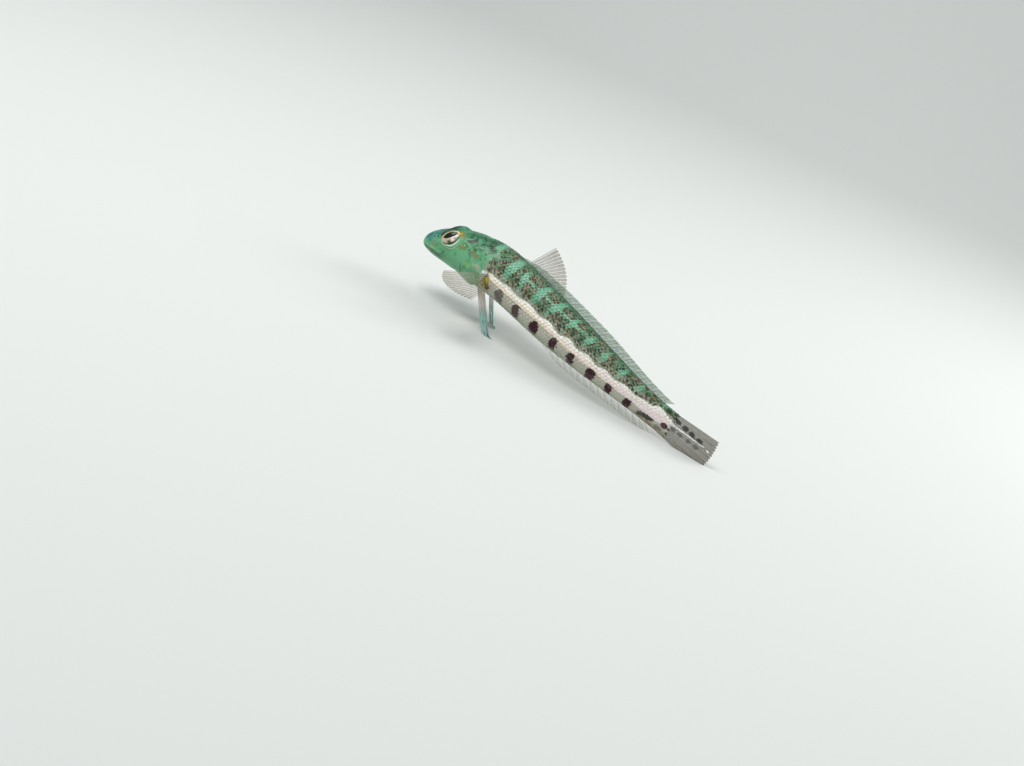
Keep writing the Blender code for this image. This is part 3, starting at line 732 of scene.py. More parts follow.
def place_on_fish(tree):
    """What all markings need to know of a place: where it is on the body, and the noises there."""
    here = SimpleNamespace()
    here.share, arc_metres, here.angle = attribute(tree, "place").parts()
    here.row, column, side = attribute(tree, "lattice").parts()
    here.ahead, here.above, _ = attribute(tree, "gaze").parts()
    here.position = attribute(tree, "spread")
    here.arc = arc_metres * 1000.0
    here.cloud = noise(here.position, 220.0, 3.0)
    here.fine = noise(here.position, 900.0, 2.0)
    here.ragged_share = here.share + (here.cloud * 0.5 + here.fine) * 0.008
    here.distance, here.random = dashes(here.row, column, side)
    return here


# %% [markdown]
# The colour is built up in layers, from the ground to the details on top. First comes the back: bars, the
# links between them, and saddles of a mottled ground that carry the dashes. The bars are ovals towards the
# tail.

# %% The back
def back_colour(here):
    """The colour of the back without its dashes, and the mask of the dashes."""
    share, arc, cloud, fine, distance = here.share, here.arc, here.cloud, here.fine, here.distance
    first, second, third = here.random
    bar_rows = [
        (middle, (middle, (lean + LEAN_SHIFT) / LEAN_SPAN, half / HALF_SPAN)) for middle, lean, half in BARS
    ]
    slanted = here.ragged_share - (arc - 9.0) * 0.0014
    middle, lean, half = looked_up(slanted, nearest(bar_rows), "CONSTANT")
    rear = share.rise(0.50, 0.65)
    widest = (12.5 - (share - 0.45) * 18.0).clamped(4.8, 12.5)
    tall = 6.5 - rear * 3.4
    swelling = 1.0 / (((arc - widest) / tall).squared() + 1.0)
    half = half * HALF_SPAN * (swelling * (0.95 + rear * 0.35) + 0.25 - rear * 0.6)
    from_bar = here.ragged_share + cloud * 0.014 - middle - (lean * LEAN_SPAN - LEAN_SHIFT) * (arc - 9.0)
    bar = (abs(from_bar) - half + fine * 0.010).fall(-0.004, 0.005)
    from_link = abs(arc + cloud * 1.6 - 12.0 + (share - 0.40) * 9.0)
    link = from_link.fall(0.35, 0.95) * share.rise(0.34, 0.38) * share.fall(0.60, 0.68)
    pale = bar.most(link * (cloud * 3.0 + 0.8).clamped())
    ground = mixed((fine * 4.0 + cloud * 3.0 + 0.05).clamped(), SADDLE_GREEN, SADDLE_TAN)
    # Pale tan at the borders between the dashes, random per scale: partly the saddles' own tan, partly
    # painted glints on the scales.
    ground = mixed(distance.rise(0.40, 0.62) * third * 0.6, ground, SADDLE_TAN)
    mint = mixed((swelling * 1.3 - 0.35 + fine * 0.9).clamped(), MINT, PALE_MINT)
    back = mixed(pale, ground, mint)
    back = mixed(arc.fall(4.4, 6.6) * 0.55, back, PINK_GREY)
    dash = (distance + fine * 0.6 - 0.30 - second * 0.14).fall(-0.07, 0.07)
    chance = 0.07 + (1.0 - pale) * (0.86 + cloud * 0.9)
    return back, dash * (chance - first).rise(-0.05, 0.08) * (0.75 + third * 0.25)


# %% [markdown]
# The side below is greyish, with a row of dark blotches that fade into trails under them. Behind the last
# blotch they run together into one streak.

# %% The side
def side_colour(here):
    """The colour of the side, the mask of its dark marks, and their colour."""
    share, arc, cloud, fine = here.share, here.arc, here.cloud, here.fine
    colour = mixed((arc + cloud * 5.0).fall(-8.0, -3.0), FLANK, FLANK_LOW)
    colour = mixed(arc.fall(-15.0, -9.0), colour, BELLY)
    blotch_rows = [(middle, (middle, half / HALF_SPAN, strength)) for middle, half, strength in BLOTCHES]
    middle, half, strength = looked_up(share, nearest(blotch_rows), "CONSTANT")
    along = (share + (cloud + fine * 2.0) * 0.010 - middle) / (half * HALF_SPAN * 1.04)
    across = (arc + cloud * 1.2 + fine * 2.6 + 3.7) * (1 / 3.6)
    oval = along.squared() + across.squared()
    trail = along.squared().fall(0.35, 1.0) * (arc + cloud * 6.0).rise(-11.0, -6.0) * arc.fall(-5.5, -4.0)
    blotch = oval.fall(0.78, 1.15).most(trail * 0.75) * strength * share.fall(0.876, 0.880)
    blotch_edge = (oval + fine * 1.2).rise(0.30, 0.85) * arc.rise(-6.0, -2.0)
    from_streak = abs(arc + fine * 2.6 - (share - 0.926) * 35.0 + 2.7)
    streak = from_streak.fall(0.9, 1.6) * abs(here.ragged_share - 0.926).fall(0.022, 0.032)
    return colour, blotch.most(streak * 0.92), mixed(blotch_edge, BLOTCH, BLOTCH_EDGE)


# %% [markdown]
# The stripe between them is whiter along its upper edge, where the scales give it teeth, and warmer along
# the lower one. Small dark dots follow its upper edge near the tail.

# %% The stripe and the whole body
def body_colour(here):
    """The colour behind the head, with a mask of its dark marks."""
    share, arc, cloud, fine = here.share, here.arc, here.cloud, here.fine
    edge_rows = [
        (place, ((top + EDGE_SHIFT) / EDGE_SPAN, (bottom + EDGE_SHIFT) / EDGE_SPAN, 0.0))
        for place, top, bottom in STRIPE
    ]
    top, bottom, _ = [edge * EDGE_SPAN - EDGE_SHIFT for edge in looked_up(share, edge_rows, "CARDINAL")]
    tooth = abs(here.row.fraction() - 0.5) * share.rise(0.30, 0.40)
    from_top = arc + fine * 0.9 + tooth * 0.9 - top
    from_bottom = arc + fine * 1.0 - bottom
    stripe = from_top.fall(-0.25, 0.40) * from_bottom.rise(-0.35, 0.30) * share.rise(0.266, 0.282)
    inside = ((arc - bottom) / (top - bottom)).clamped()
    cream = mixed(share.rise(0.45, 0.90), STRIPE_FRONT, STRIPE_REAR)
    cream = mixed(inside.rise(0.45, 0.95) * 0.75, cream, STRIPE_TOP)
    # A grey net at the borders of the scale cells is painted shade between the scales, with fine grey
    # mottling mixed in.
    cream = mixed((here.distance.rise(0.36, 0.60) * 0.35 + fine * 1.2).clamped() * 0.6, cream, PINK_GREY)
    warm = (inside + fine * 0.8).fall(0.05, 0.40) * share.fall(0.60, 0.85)
    cream = mixed(warm * 0.65, cream, STRIPE_EDGE)

    back, fleck = back_colour(here)
    side, dark, dark_tint = side_colour(here)
    body = mixed(from_bottom.rise(-0.3, 0.6), side, back)
    rear_low = (share + cloud * 0.05).rise(0.86, 0.92) * (arc + fine * 2.0).fall(-4.5, -2.5)
    body = mixed(rear_low * (0.5 + fine * 1.5), body, TAN)
    body = mixed(dark, body, dark_tint)
    body = mixed(stripe, body, cream)
    fleck = fleck * from_top.rise(0.5, 1.5)
    along = ((share * 64.0).fraction() - 0.5 + fine * 0.3).squared() * 9.0
    across = ((arc - top - 0.75 + cloud * 2.5) * 1.5).squared()
    dot = (along + across).fall(0.5, 1.1) * share.rise(0.80, 0.83) * share.fall(0.955, 0.965)
    dash_tint = mixed((cloud * 3.0 + fine * 3.0 + 0.6).clamped(), DASH_GREEN, DASH_BROWN)
    body = mixed(fleck.most(dot * 0.9), body, dash_tint)
    for place, height, length, half_height, tint, amount in BODY_SPOTS:
        body = mixed(spot(here.ragged_share, arc, place, height, length, half_height) * amount, body, tint)
    return body, (fleck + dark).clamped()


# %% [markdown]
# The head is darker above, slate between the eyes and blue-green on the snout, with brown marks on the
# nape.

# %% The head
def head_colour(here):
    """The colour of the head without its spots."""
    share, arc, cloud, fine = here.share, here.arc, here.cloud, here.fine
    head = mixed((arc + cloud * 3.0).rise(5.0, 11.0), CHEEK, NAPE)
    head = mixed((share + cloud * 0.03).fall(0.085, 0.125) * arc.rise(3.5, 7.0), head, BROW)
    shifted = share + cloud * 0.02
    head = mixed(shifted.fall(0.025, 0.075) * arc.rise(0.0, 4.0), head, SNOUT)
    head = mixed(shifted.fall(0.060, 0.095) * arc.fall(-3.6, -0.6) * 0.8, head, JAW)
    head = mixed(here.angle.fall(-70.0, -46.0) * share.rise(0.05, 0.12), head, FLANK_LOW)
    head = mixed((cloud * 4.0 + fine * 3.0).clamped() * 0.5, head, PALE_MINT)
    head = mixed((cloud * -4.0 - fine * 4.0).clamped() * (0.30 + arc.rise(2.0, 9.0) * 0.40), head, DARK_GREEN)
    marks = noise(here.position, 430.0, 3.0, 0.6).rise(0.03, 0.10)
    marks = marks * share.rise(0.12, 0.17) * (arc + cloud * 6.0).rise(2.0, 6.0)
    return mixed(marks * 0.75, head, mixed((fine * 5.0 + 0.5).clamped(), DARK_GREEN, BROWN))


def head_details(here, colour):
    """Adds the dark slit of the cheek, the spots, and the rings round the eye."""
    share, arc, cloud, fine = here.share, here.arc, here.cloud, here.fine
    slit = abs(share - 0.1715 + (arc + 5.2).squared() * 0.0006)
    slit = slit.fall(0.0006, 0.0030) * abs(arc + 5.6).fall(2.4, 3.6)
    colour = mixed(slit * 0.85, colour, DARK_GREEN)
    blurred_share = share + fine * 0.030 + cloud * 0.020
    blurred_arc = arc + fine * 4.5 - cloud * 3.0
    for place, height, length, half_height, tint, amount in HEAD_SPOTS:
        mask = spot(blurred_share, blurred_arc, place, height, length, half_height, 0.6)
        colour = mixed(mask * amount, colour, tint)
    from_eye = (here.ahead.squared() + here.above.squared()).root()
    behind = (-0.55 * here.ahead - here.above * 0.80 + fine * 0.4).rise(0.10, 0.55)
    colour = mixed(abs(from_eye - 1.02).fall(0.03, 0.08) * behind * 0.55, colour, STRIPE_FRONT)
    colour = mixed(abs(from_eye - 1.20).fall(0.01, 0.05) * behind * 0.25, colour, STRIPE_FRONT)
    return mixed(abs(from_eye - 1.02).fall(0.05, 0.14) * (1.0 - behind) * 0.8, colour, DARK_GREEN)


# %% [markdown]
# Head and body meet along the gill cover, with a soft ragged border on the nape.

# %% The colour of every place
def markings(tree):
    """The skin's colour and how dark its marks are, with the place they were worked out for."""
    here = place_on_fish(tree)
    body, dark = body_colour(here)
    on_head = (here.share - 0.262 + here.cloud * 0.02).fall(-0.012, 0.012) * here.arc.fall(10.0, 14.0)
    on_head = on_head.most((here.share + here.cloud * 0.03).fall(0.225, 0.250))
    colour = head_details(here, mixed(on_head, body, head_colour(here)))
    glow = (here.random[2] - 0.5) * 0.12 * (1.0 - on_head)
    return mixed(glow.clamped(), colour, (1.0, 1.0, 1.0)), dark * (1.0 - on_head), here


# %% [markdown]
# ## The finish of the skin
# Wet skin is smooth and dark-edged in its highlights: a thin clear coat over a rougher ground. On the scales
# the coat is a little smoother, and their bumps are finer and lower. Fine bumps stand for the pores and the
# tiny scales of the cheeks.

# %% The skin and scale materials
def skin_finish(name, coat_roughness, bump_size, bump_height):
    """A moist skin with the fish's markings."""
    material, tree, shader = new_finish(name)
    colour, darkness, here = markings(tree)
    tree.links.new(colour.socket, shader.inputs["Base Color"])
    roughness = 0.42 + here.cloud * 0.25 + darkness * 0.08
    tree.links.new(roughness.socket, shader.inputs["Roughness"])
    set_values(shader, specular_ior_level=0.25, coat_weight=0.12, coat_roughness=coat_roughness)
    inputs = {"Vector": here.position, "Scale": bump_size, "Smoothness": 0.3}
    pores = here.position.node("ShaderNodeTexVoronoi", {"feature": "SMOOTH_F1"}, inputs)
    inputs = {"Height": pores + here.fine * 0.5, "Strength": 0.35, "Distance": bump_height}
    tree.links.new(pores.node("ShaderNodeBump", None, inputs).socket, shader.inputs["Normal"])
    return material


skin_material = skin_finish("moist_skin", coat_roughness=0.28, bump_size=1500.0, bump_height=0.00018)
scale_material = skin_finish("scales", coat_roughness=0.22, bump_size=2400.0, bump_height=0.00006)
print("skin nodes:", len(skin_material.node_tree.nodes))

# %% [markdown]
# ## The skin
# One mesh replaces the head, the trunk and the tail stalk, so no seam shows. Its rings follow the gill
# edge, where extra rings fold under to make the free edge of the gill cover. Its columns close up on the
# mouth line, where they turn in between the lips. Under the scales it lies a little inside the solids, by
# the thickness of the coat.

# %% Rings and columns of the skin
HEAD_RINGS = 180
TRUNK_RINGS = 180
HALF_COLUMNS = 120
COAT = 0.00022
MOUTH_COLUMN_SHARE = 0.40
MOUTH_COLUMN_FADE = 1.6
MOUTH_FADE = (0.85, 1.05)
FOLD = (
    # Share behind the gill edge, the same where the cover is free, share of the cover's lift, extra lift
    (0.0008, 0.0016, 1.00, -0.00010),
    (0.0016, 0.0022, 0.80, -0.00012),
    (0.0024, 0.0016, 0.50, -0.00010),
    (0.0030, -0.0030, 0.25, 0.00000),
    (0.0038, -0.0032, 0.00, -0.00012),
    (0.0050, 0.0040, 0.00, -0.00008),
)
LIPS = (
    # Distance from the mouth line, lift
    (0.0, -MOUTH_DEPTH),
    (0.00006, -0.00070),
    (0.00017, -0.00020),
    (0.00036, -0.00004),
    (0.00062, 0.0),
)


def column_angles(plain):
    """The angle and the extra lift of each column from the belly to the back, for a ring at a plain share."""
    k = np.arange(HALF_COLUMNS + 1)
    even = np.pi * (k / HALF_COLUMNS - 0.5)
    line_column = round(HALF_COLUMNS * MOUTH_COLUMN_SHARE)
    line = float(mouth_angle(plain))
    radius = max(float(HALF_WIDTH(math.sqrt(plain))), 0.014) * STANDARD_LENGTH
    pinch = 1 - smooth_step(1.0, MOUTH_COLUMN_FADE, plain / MOUTH_LENGTH)
    opened = 1 - smooth_step(*MOUTH_FADE, plain / MOUTH_LENGTH)
    opened = opened * smooth_step(0.0, LIP_START / 2, plain)
    reach = len(LIPS) - 1
    offsets = np.array([distance for distance, _ in LIPS]) / radius
    lifts = np.array([lift for _, lift in LIPS])
    target = np.empty_like(even)
    lift = np.zeros_like(even)
    low = line - offsets[-1]
    high = line + offsets[-1]
    below = k < line_column - reach
    above = k > line_column + reach
    near = ~below & ~above
    target[below] = -np.pi / 2 + (low + np.pi / 2) * k[below] / (line_column - reach)
    columns_above = HALF_COLUMNS - line_column - reach
    target[above] = np.pi / 2 - (np.pi / 2 - high) * (HALF_COLUMNS - k[above]) / columns_above
    away = k[near] - line_column
    target[near] = line + np.sign(away) * offsets[np.abs(away)]
    lift[near] = lifts[np.abs(away)] * opened
    return even + (target - even) * pinch, lift


def skin_rings():
    """Share, angle, lift and amount of relief for every ring, from the snout to the tail root."""
    rows = []
    for step in range(HEAD_RINGS + 1):
        t = step / HEAD_RINGS
        plain = GILL_MIDDLE * (0.7 * t * t + 0.3 * t)
        angle, lift = column_angles(plain)
        share = plain + (gill_edge(angle) - GILL_MIDDLE) * smooth_step(0.45, 1.0, t)
        rows.append((share, angle, lift, np.ones_like(angle)))
    angle = np.pi * (np.arange(HALF_COLUMNS + 1) / HALF_COLUMNS - 0.5)
    edge = gill_edge(angle)
    free = cover_mask(angle)
    for plain_step, folded_step, amount, extra in FOLD:
        share = edge + plain_step + (folded_step - plain_step) * free
        rows.append((share, angle, extra * free, np.full_like(angle, amount)))
    start = edge + FOLD[-1][0] + (FOLD[-1][1] - FOLD[-1][0]) * free
    for step in range(1, TRUNK_RINGS + 1):
        t = step / TRUNK_RINGS
        place = GILL_MIDDLE + (1 - GILL_MIDDLE) * t
        share = place + (start - GILL_MIDDLE) * (1 - smooth_step(0.0, 0.3, t))
        rows.append((share, angle, np.zeros_like(angle), np.zeros_like(angle)))
    return [np.array(part) for part in zip(*rows)]


def scaled_mask(share, angle):
    """1 where the body carries scales: behind the gill cover, and on the nape."""
    behind = smooth_step(0.0, 0.012, share - gill_edge(angle) - 0.004)
    nape_scales = smooth_step(math.radians(38.0), math.radians(60.0), angle) * smooth_step(0.165, 0.20, share)
    return np.maximum(behind, nape_scales)


share, angle, lift, amount = skin_rings()
lift = lift - COAT * scaled_mask(share, angle)
half_left = skin_points(share, angle, 1.0, lift, amount)
half_right = skin_points(share, angle, -1.0, lift, amount)[:, -2:0:-1]
skin = np.concatenate((half_left, half_right), axis=1)


def both_sides(array):
    """Values of the left half, carried round the right half."""
    return np.concatenate((array, array[:, -2:0:-1]), axis=1)


skin_share = both_sides(share)
skin_angle = both_sides(angle)
skin_side = np.ones_like(skin_share)
skin_side[:, HALF_COLUMNS + 1:] = -1.0
print("skin grid", skin.shape[:2])

# %% [markdown]
# ## Room for the eyes
# The eyeballs are pieces of their own. The skin dips under each one, and rises round it to a low fleshy
# rim. Moving the skin's points along the eye's own direction keeps the rim level with the eye, which a cut
# would not do.

# %% Skin round the eyes
RIM_INNER = 0.0040
RIM_CREST = 0.0046
RIM_OUTER = 0.0064
RIM_LEVEL = 0.0008
RIM_UNDER = -0.0012


def make_room(points):
    """Presses the skin under the eyeballs and raises it to a rim round them."""
    for side in (1.0, -1.0):
        centre, outward, _, _ = eye_frame(side)
        away = points - centre
        level = away @ outward
        radius = np.linalg.norm(away - level[..., None] * outward, axis=-1)
        crest = np.maximum(level, RIM_LEVEL)
        rim = level + (crest - level) * (1 - smooth_step(RIM_CREST, RIM_OUTER, radius))
        inside = 1 - smooth_step(RIM_INNER, RIM_CREST, radius)
        target = rim + (RIM_UNDER - rim) * inside
        near = (radius < RIM_OUTER) & (level > -0.004)
        points[near] += ((target - level)[..., None] * outward)[near]
    return points


NOSTRILS = ((0.040, math.radians(40.0)), (0.056, math.radians(37.0)))
NOSTRIL_RIM = 0.00062
NOSTRIL_RIM_WIDTH = 0.00022
NOSTRIL_RISE = 0.00034
NOSTRIL_PIT = 0.00036
NOSTRIL_DEPTH = 0.0007
NOSTRIL_REACH = 0.002


def make_nostrils(points):
    """Raises a small ring round each nostril and sinks its middle."""
    for side in (1.0, -1.0):
        for place, height in NOSTRILS:
            centre = skin_points(place, height, side)
            outward = unit(skin_points(place, height, side, 0.001) - centre)
            away = np.linalg.norm(points - centre, axis=-1)
            lift = NOSTRIL_RISE * hump(away, NOSTRIL_RIM, NOSTRIL_RIM_WIDTH)
            lift -= NOSTRIL_DEPTH * (1 - smooth_step(0.0001, NOSTRIL_PIT, away))
            points += (lift * (away < NOSTRIL_REACH))[..., None] * outward
    return points


skin = make_nostrils(make_room(skin))

# %% [markdown]
# ## Closing the skin
# The rings become one closed mesh: a fan of faces inside the mouth in front, and a fan at the root of the
# tail fin.

# %% The skin object
FAR_FROM_EYE = 9.0


def attributes_at(share, angle, side, position):
    """The three vectors that the markings read: place on the body, scale numbers, and the place unbent."""
    rows, columns = lattice(np.clip(share, 0.0, 1.0), angle)
    arc = arc_at(np.clip(share, 0.0, 1.0), angle)
    place = np.stack([share, arc, np.degrees(angle)], axis=-1)
    numbers = np.stack([rows, columns, np.broadcast_to(side, rows.shape)], axis=-1)
    gaze = np.full(place.shape, FAR_FROM_EYE)
    for one in (1.0, -1.0):
        centre, outward, forward, upward = eye_frame(one)
        away = (position - centre) / EYE_RADIUS
        seen = np.stack([away @ forward, away @ upward, away @ outward], axis=-1)
        near = (numbers[..., 2] * one > 0) & (seen[..., 2] > -1.0)
        gaze[near] = seen[near]
    return {"place": place, "lattice": numbers, "gaze": gaze, "spread": position}


def flat_place(share, angle, side):
    """A place on the body's own unwrap: length to the right, round the body upwards."""
    u = 0.02 + 0.95 * np.clip(share, 0.0, 1.02)
    quarter = 0.24 * np.asarray(angle) / (math.pi / 2)
    v = np.where(np.asarray(side) > 0, 0.25 + quarter, 0.75 - quarter)
    return np.stack(np.broadcast_arrays(u, v), axis=-1)


def make_skin():
    """One closed skin from the snout to the tail root."""
    rings, columns = skin.shape[:2]
    front = axis_at(MOUTH_INSET)[0]
    back = axis_at(1.0)[0]
    points = np.concatenate((skin.reshape(-1, 3), [front, back]))
    shares = np.append(skin_share.reshape(-1), [0.0, 1.0])
    angles = np.append(skin_angle.reshape(-1), [MOUTH_FRONT_ANGLE, 0.0])
    sides = np.append(skin_side.reshape(-1), [1.0, 1.0])
    values = attributes_at(shares, angles, sides, points)
    flat = flat_place(shares, angles, sides)
    return make_mesh("skin", points, capped_faces(rings, columns), values, flat, skin_material)


body_skin = make_skin()
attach(body_skin, "root")
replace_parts(body_skin, "head", "trunk_front", "trunk_middle", "trunk_rear", "tail_stalk")

# %% [markdown]
# ## Scales
# Each scale is a small shield with a round rear edge. Its root is hidden under the scales in front of it,
# and its rear edge stands off the skin by a fifth of a millimetre. Thousands of them are worked out in one
# array, because copies by instances would be lost in an export. Left and right are two pieces, to keep each
# of them light.

# %% Shape of one scale
SCALE_LONG = 1.75
SCALE_ROOT = -0.20
SCALE_HALF_WIDE = 0.60
SCALE_ROUNDING = 0.26
SCALE_RISE = 0.00030
SCALE_START_LIFT = -0.00012
SCALE_SIDE_DROP = 0.00012
SCALE_THICK = 0.00012
SCALE_BASE = 0.00006
SCALE_WOBBLE = 0.03
SCALE_UNEVEN = 0.18
SCALE_PATCH = 0.003
ALONG = np.linspace(0.0, 1.0, 5)
ACROSS = np.linspace(-1.0, 1.0, 7)
local_a, local_b = np.meshgrid(ALONG, ACROSS, indexing="ij")
step_row = SCALE_ROOT + SCALE_LONG * local_a * (1 - SCALE_ROUNDING * local_b**2)
step_column = SCALE_HALF_WIDE * local_b * (1 - 0.12 * local_a)
scale_lift = SCALE_START_LIFT + SCALE_RISE * local_a - SCALE_SIDE_DROP * local_b**2 * (0.4 + 0.6 * local_a)

# %% [markdown]
# The rim of a scale drops straight to its underside, which closes it as one small solid.

# %% Faces of one scale
def scale_faces():
    """Faces of one scale: its top grid, a wall round its rim, and its underside."""
    rim = grid_rim(*local_a.shape)
    under = local_a.size
    count = len(rim)
    walls = [[rim[(k + 1) % count], rim[k], under + k, under + (k + 1) % count] for k in range(count)]
    return grid_faces(*local_a.shape) + walls + [[under + k for k in range(count)]], rim


SCALE_FACES, SCALE_RIM = scale_faces()


def scale_places():
    """Row and column numbers of every scale of one side."""
    places = []
    limit = int(ARC_TABLE.max() / 0.0011) + 1
    for column in range(-limit, limit + 1):
        for step in range(int(0.16 / ROW_PITCH), int(1.012 / ROW_PITCH)):
            row = step - 0.5 * (column % 2)
            share = row * ROW_PITCH
            arc = column * float(column_pitch(min(share, 1.0)))
            low = float(arc_at(min(share, 1.0), TABLE_ANGLES[0]))
            high = float(arc_at(min(share, 1.0), TABLE_ANGLES[-1]))
            if not low - 0.0002 < arc < high + 0.0002:
                continue
            angle = float(angle_at_arc(min(share, 1.0), arc))
            if scaled_mask(share, angle) > 0.9:
                places.append((row, column))
    return np.array(places, float)


def make_scales(name, side, seed):
    """The scales of one side as one mesh."""
    places = scale_places()
    random = np.random.default_rng(seed)
    count = len(places)
    wobble = random.normal(0.0, SCALE_WOBBLE, (count, 2))
    tall = 1 + random.normal(0.0, SCALE_UNEVEN, count)
    rows = places[:, 0, None, None] + wobble[:, 0, None, None] + step_row
    columns = places[:, 1, None, None] + wobble[:, 1, None, None] + step_column
    share = rows * ROW_PITCH
    held = np.clip(share, 0.0, 1.0)
    angle = angle_at_arc(held, columns * column_pitch(held))
    lift = scale_lift * tall[:, None, None] - COAT + SCALE_BASE
    nape = relief(share, angle) * (share < gill_edge(angle))
    top = skin_points(share, angle, side, lift + nape, 0.0).reshape(count, -1, 3)
    below = skin_points(share, angle, side, lift + nape - SCALE_THICK, 0.0).reshape(count, -1, 3)
    points = np.concatenate((top, below[:, SCALE_RIM]), axis=1)

    def spread(array):
        """Values of the top grid, and again those of its rim for the underside."""
        flat = np.broadcast_to(array, share.shape).reshape(count, -1)
        return np.concatenate((flat, flat[:, SCALE_RIM]), axis=1)

    shares, angles = spread(share), spread(angle)
    values = attributes_at(shares, angles, side, points)
    root = flat_place(places[:, 0] * ROW_PITCH, angle[:, 0, 3], np.full(count, side))
    patch = np.stack([spread(local_a) - 0.5, spread(local_b) / 2], axis=-1)
    flat = root[:, None, :] + patch * SCALE_PATCH
    faces = []
    for start in range(0, count * points.shape[1], points.shape[1]):
        faces += [[start + corner for corner in face][::int(side)] for face in SCALE_FACES]
    made = make_mesh(name, points.reshape(-1, 3), faces, values, flat, scale_material)
    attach(made, "root")
    return made


make_scales("scales_left", 1.0, seed=11)
make_scales("scales_right", -1.0, seed=12)

# %% [markdown]
# ## Eyes
# A sandperch's eye is a flattened ball under a clear cornea. Its pupil is a slanting oval with a gold edge,
# and the iris is pale below it and dark green above. Every point of the ball carries its place as seen from
# in front of the eye, so the iris is painted by numbers and stays sharp at any size.

# %% The finish of the eyes
EYE_SIDES = 64
EYE_RINGS = 40
PUPIL_SLANT = (0.65, 0.76)
PUPIL_MIDDLE = (0.087, -0.206)
PUPIL_HALF_LONG = 0.62
PUPIL_HALF_WIDE = 0.33
IRIS_PINK = colour_of(214, 196, 178)
IRIS_SAND = colour_of(168, 160, 132)
IRIS_GREEN = colour_of(42, 84, 60)
IRIS_DARK = colour_of(10, 38, 26)
GOLD = colour_of(216, 190, 110)
BLACK = colour_of(6, 7, 9)
# Patches of the iris: towards the snout, upwards, half sizes, colour
IRIS_PATCHES = (
    (-0.72, -0.47, 0.20, 0.15, colour_of(255, 232, 226)),
    (-0.43, -0.76, 0.17, 0.12, colour_of(54, 74, 40)),
)


def eye_finish():
    """A pale mottled iris round a slanting black pupil with a gold edge, under a wet clear coat."""
    material, tree, shader = new_finish("eye_glass")
    forward, upward, _ = attribute(tree, "gaze").parts()
    place = attribute(tree, "spread")
    mottle = noise(place, 2600.0, 3.0)
    streaks = noise(place, 6000.0, 2.0)
    radius = (forward.squared() + upward.squared()).root()
    along = upward * PUPIL_SLANT[0] - forward * PUPIL_SLANT[1] - PUPIL_MIDDLE[0]
    across = forward * PUPIL_SLANT[0] + upward * PUPIL_SLANT[1] - PUPIL_MIDDLE[1]
    iris = mixed((mottle * 3.0 + 0.55).clamped(), IRIS_PINK, IRIS_SAND)
    iris = mixed((across + mottle * 0.4).rise(0.30, 0.62), iris, IRIS_GREEN)
    for ahead, above, half_long, half_high, tint in IRIS_PATCHES:
        iris = mixed(spot(forward, upward, ahead, above, half_long, half_high) * 0.9, iris, tint)
    iris = mixed((radius + streaks * 0.12).rise(0.90, 1.00), iris, colour_of(46, 66, 44))
    pupil = (along * (1 / PUPIL_HALF_LONG)).squared() + (across * (1 / PUPIL_HALF_WIDE)).squared()
    glow = pupil.rise(0.95, 1.10) * pupil.fall(1.5, 2.1)
    iris = mixed(glow * across.fall(-0.25, -0.12) * along.rise(-0.05, 0.12), iris, colour_of(244, 244, 250))
    gold = pupil.rise(1.25, 1.45) * pupil.fall(1.75, 2.1) * across.rise(-0.10, 0.05)
    iris = mixed(gold, iris, GOLD)
    iris = mixed((pupil + streaks * 0.3).fall(1.40, 1.60) * across.rise(-0.05, 0.08), iris, IRIS_DARK)
    colour = mixed(pupil.fall(0.92, 1.06), iris, BLACK)
    tree.links.new(colour.socket, shader.inputs["Base Color"])
    set_values(shader, roughness=0.35, specular_ior_level=0.15, coat_weight=0.30, coat_roughness=0.03)
    return material


eye_material = eye_finish()


def make_eye(name, side):
    """One eyeball, a ball flattened along the way it looks."""
    centre, outward, forward, upward = eye_frame(side)
    polar = np.linspace(0.0, math.pi, EYE_RINGS + 1)[1:-1, None]
    round_angle = np.linspace(0.0, 2 * math.pi, EYE_SIDES, endpoint=False)[None, :]
    x = np.sin(polar) * np.cos(round_angle)
    y = np.sin(polar) * np.sin(round_angle) * side
    z = np.cos(polar) * np.ones_like(round_angle)
    local = np.concatenate((np.stack([x, y, z], axis=-1).reshape(-1, 3), [[0, 0, 1.0], [0, 0, -1.0]]))
    scaled = local * [EYE_RADIUS, EYE_RADIUS, EYE_HALF_DEPTH]
    points = centre + scaled @ np.array([forward, upward, outward])
    faces = capped_faces(EYE_RINGS - 1, EYE_SIDES)
    front_or_back = np.where(local[:, 2] > 0, 0.25, 0.75)
    flat = np.stack([local[:, 0] * 0.24 + front_or_back, local[:, 1] * 0.48 + 0.5], axis=-1)
    made = make_mesh(name, points, faces, {"gaze": local, "spread": points}, flat, eye_material)
    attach(made, "root")
    return made


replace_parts(make_eye("eyeball_left", 1.0), "eye_left")
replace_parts(make_eye("eyeball_right", -1.0), "eye_right")

# %% [markdown]
# ## Fins
# A fin is a thin clear membrane between bony rays. Soft rays split towards the margin into two and then
# four. Each fin is one closed sheet: a surface from its root to its margin, pushed out on both faces by
# half its thickness, which is larger on the rays. A flat plane with a picture of rays would look like paper
# from the side.

# %% Sizes of the fins
GAP = 0.0003
DORSAL_SHARES = (0.285, 0.945)
DORSAL_SPINES = 5
DORSAL_RAYS = 21
DORSAL_HEIGHT = 0.0036
DORSAL_LEAN = 1.6
DORSAL_DRAPE = 0.45
SPINE_CROWDING = 0.6
ANAL_SHARES = (0.50, 0.935)
ANAL_RAYS = 17
ANAL_HEIGHT = 0.0036
ANAL_LEAN = 1.2
CAUDAL_RAYS = 13
CAUDAL_LENGTH = 0.0225
CAUDAL_PLEAT = 0.00035
CAUDAL_BASE_SHARE = 0.92
CAUDAL_ROUNDING = 0.05
CAUDAL_SPREAD = 0.0024
PECTORAL_RAYS = 17
PECTORAL_LENGTH = 0.0300
PECTORAL_SHARES = (0.2855, 0.3055)
PECTORAL_ANGLES = (math.radians(4.0), math.radians(-30.0))
PECTORAL_SAG = 0.0010
PECTORAL_ROUNDING = 0.35
FIN_SINK = 0.0012
PELVIC_RAYS = 6
PELVIC_SHARES = (0.240, 0.270)
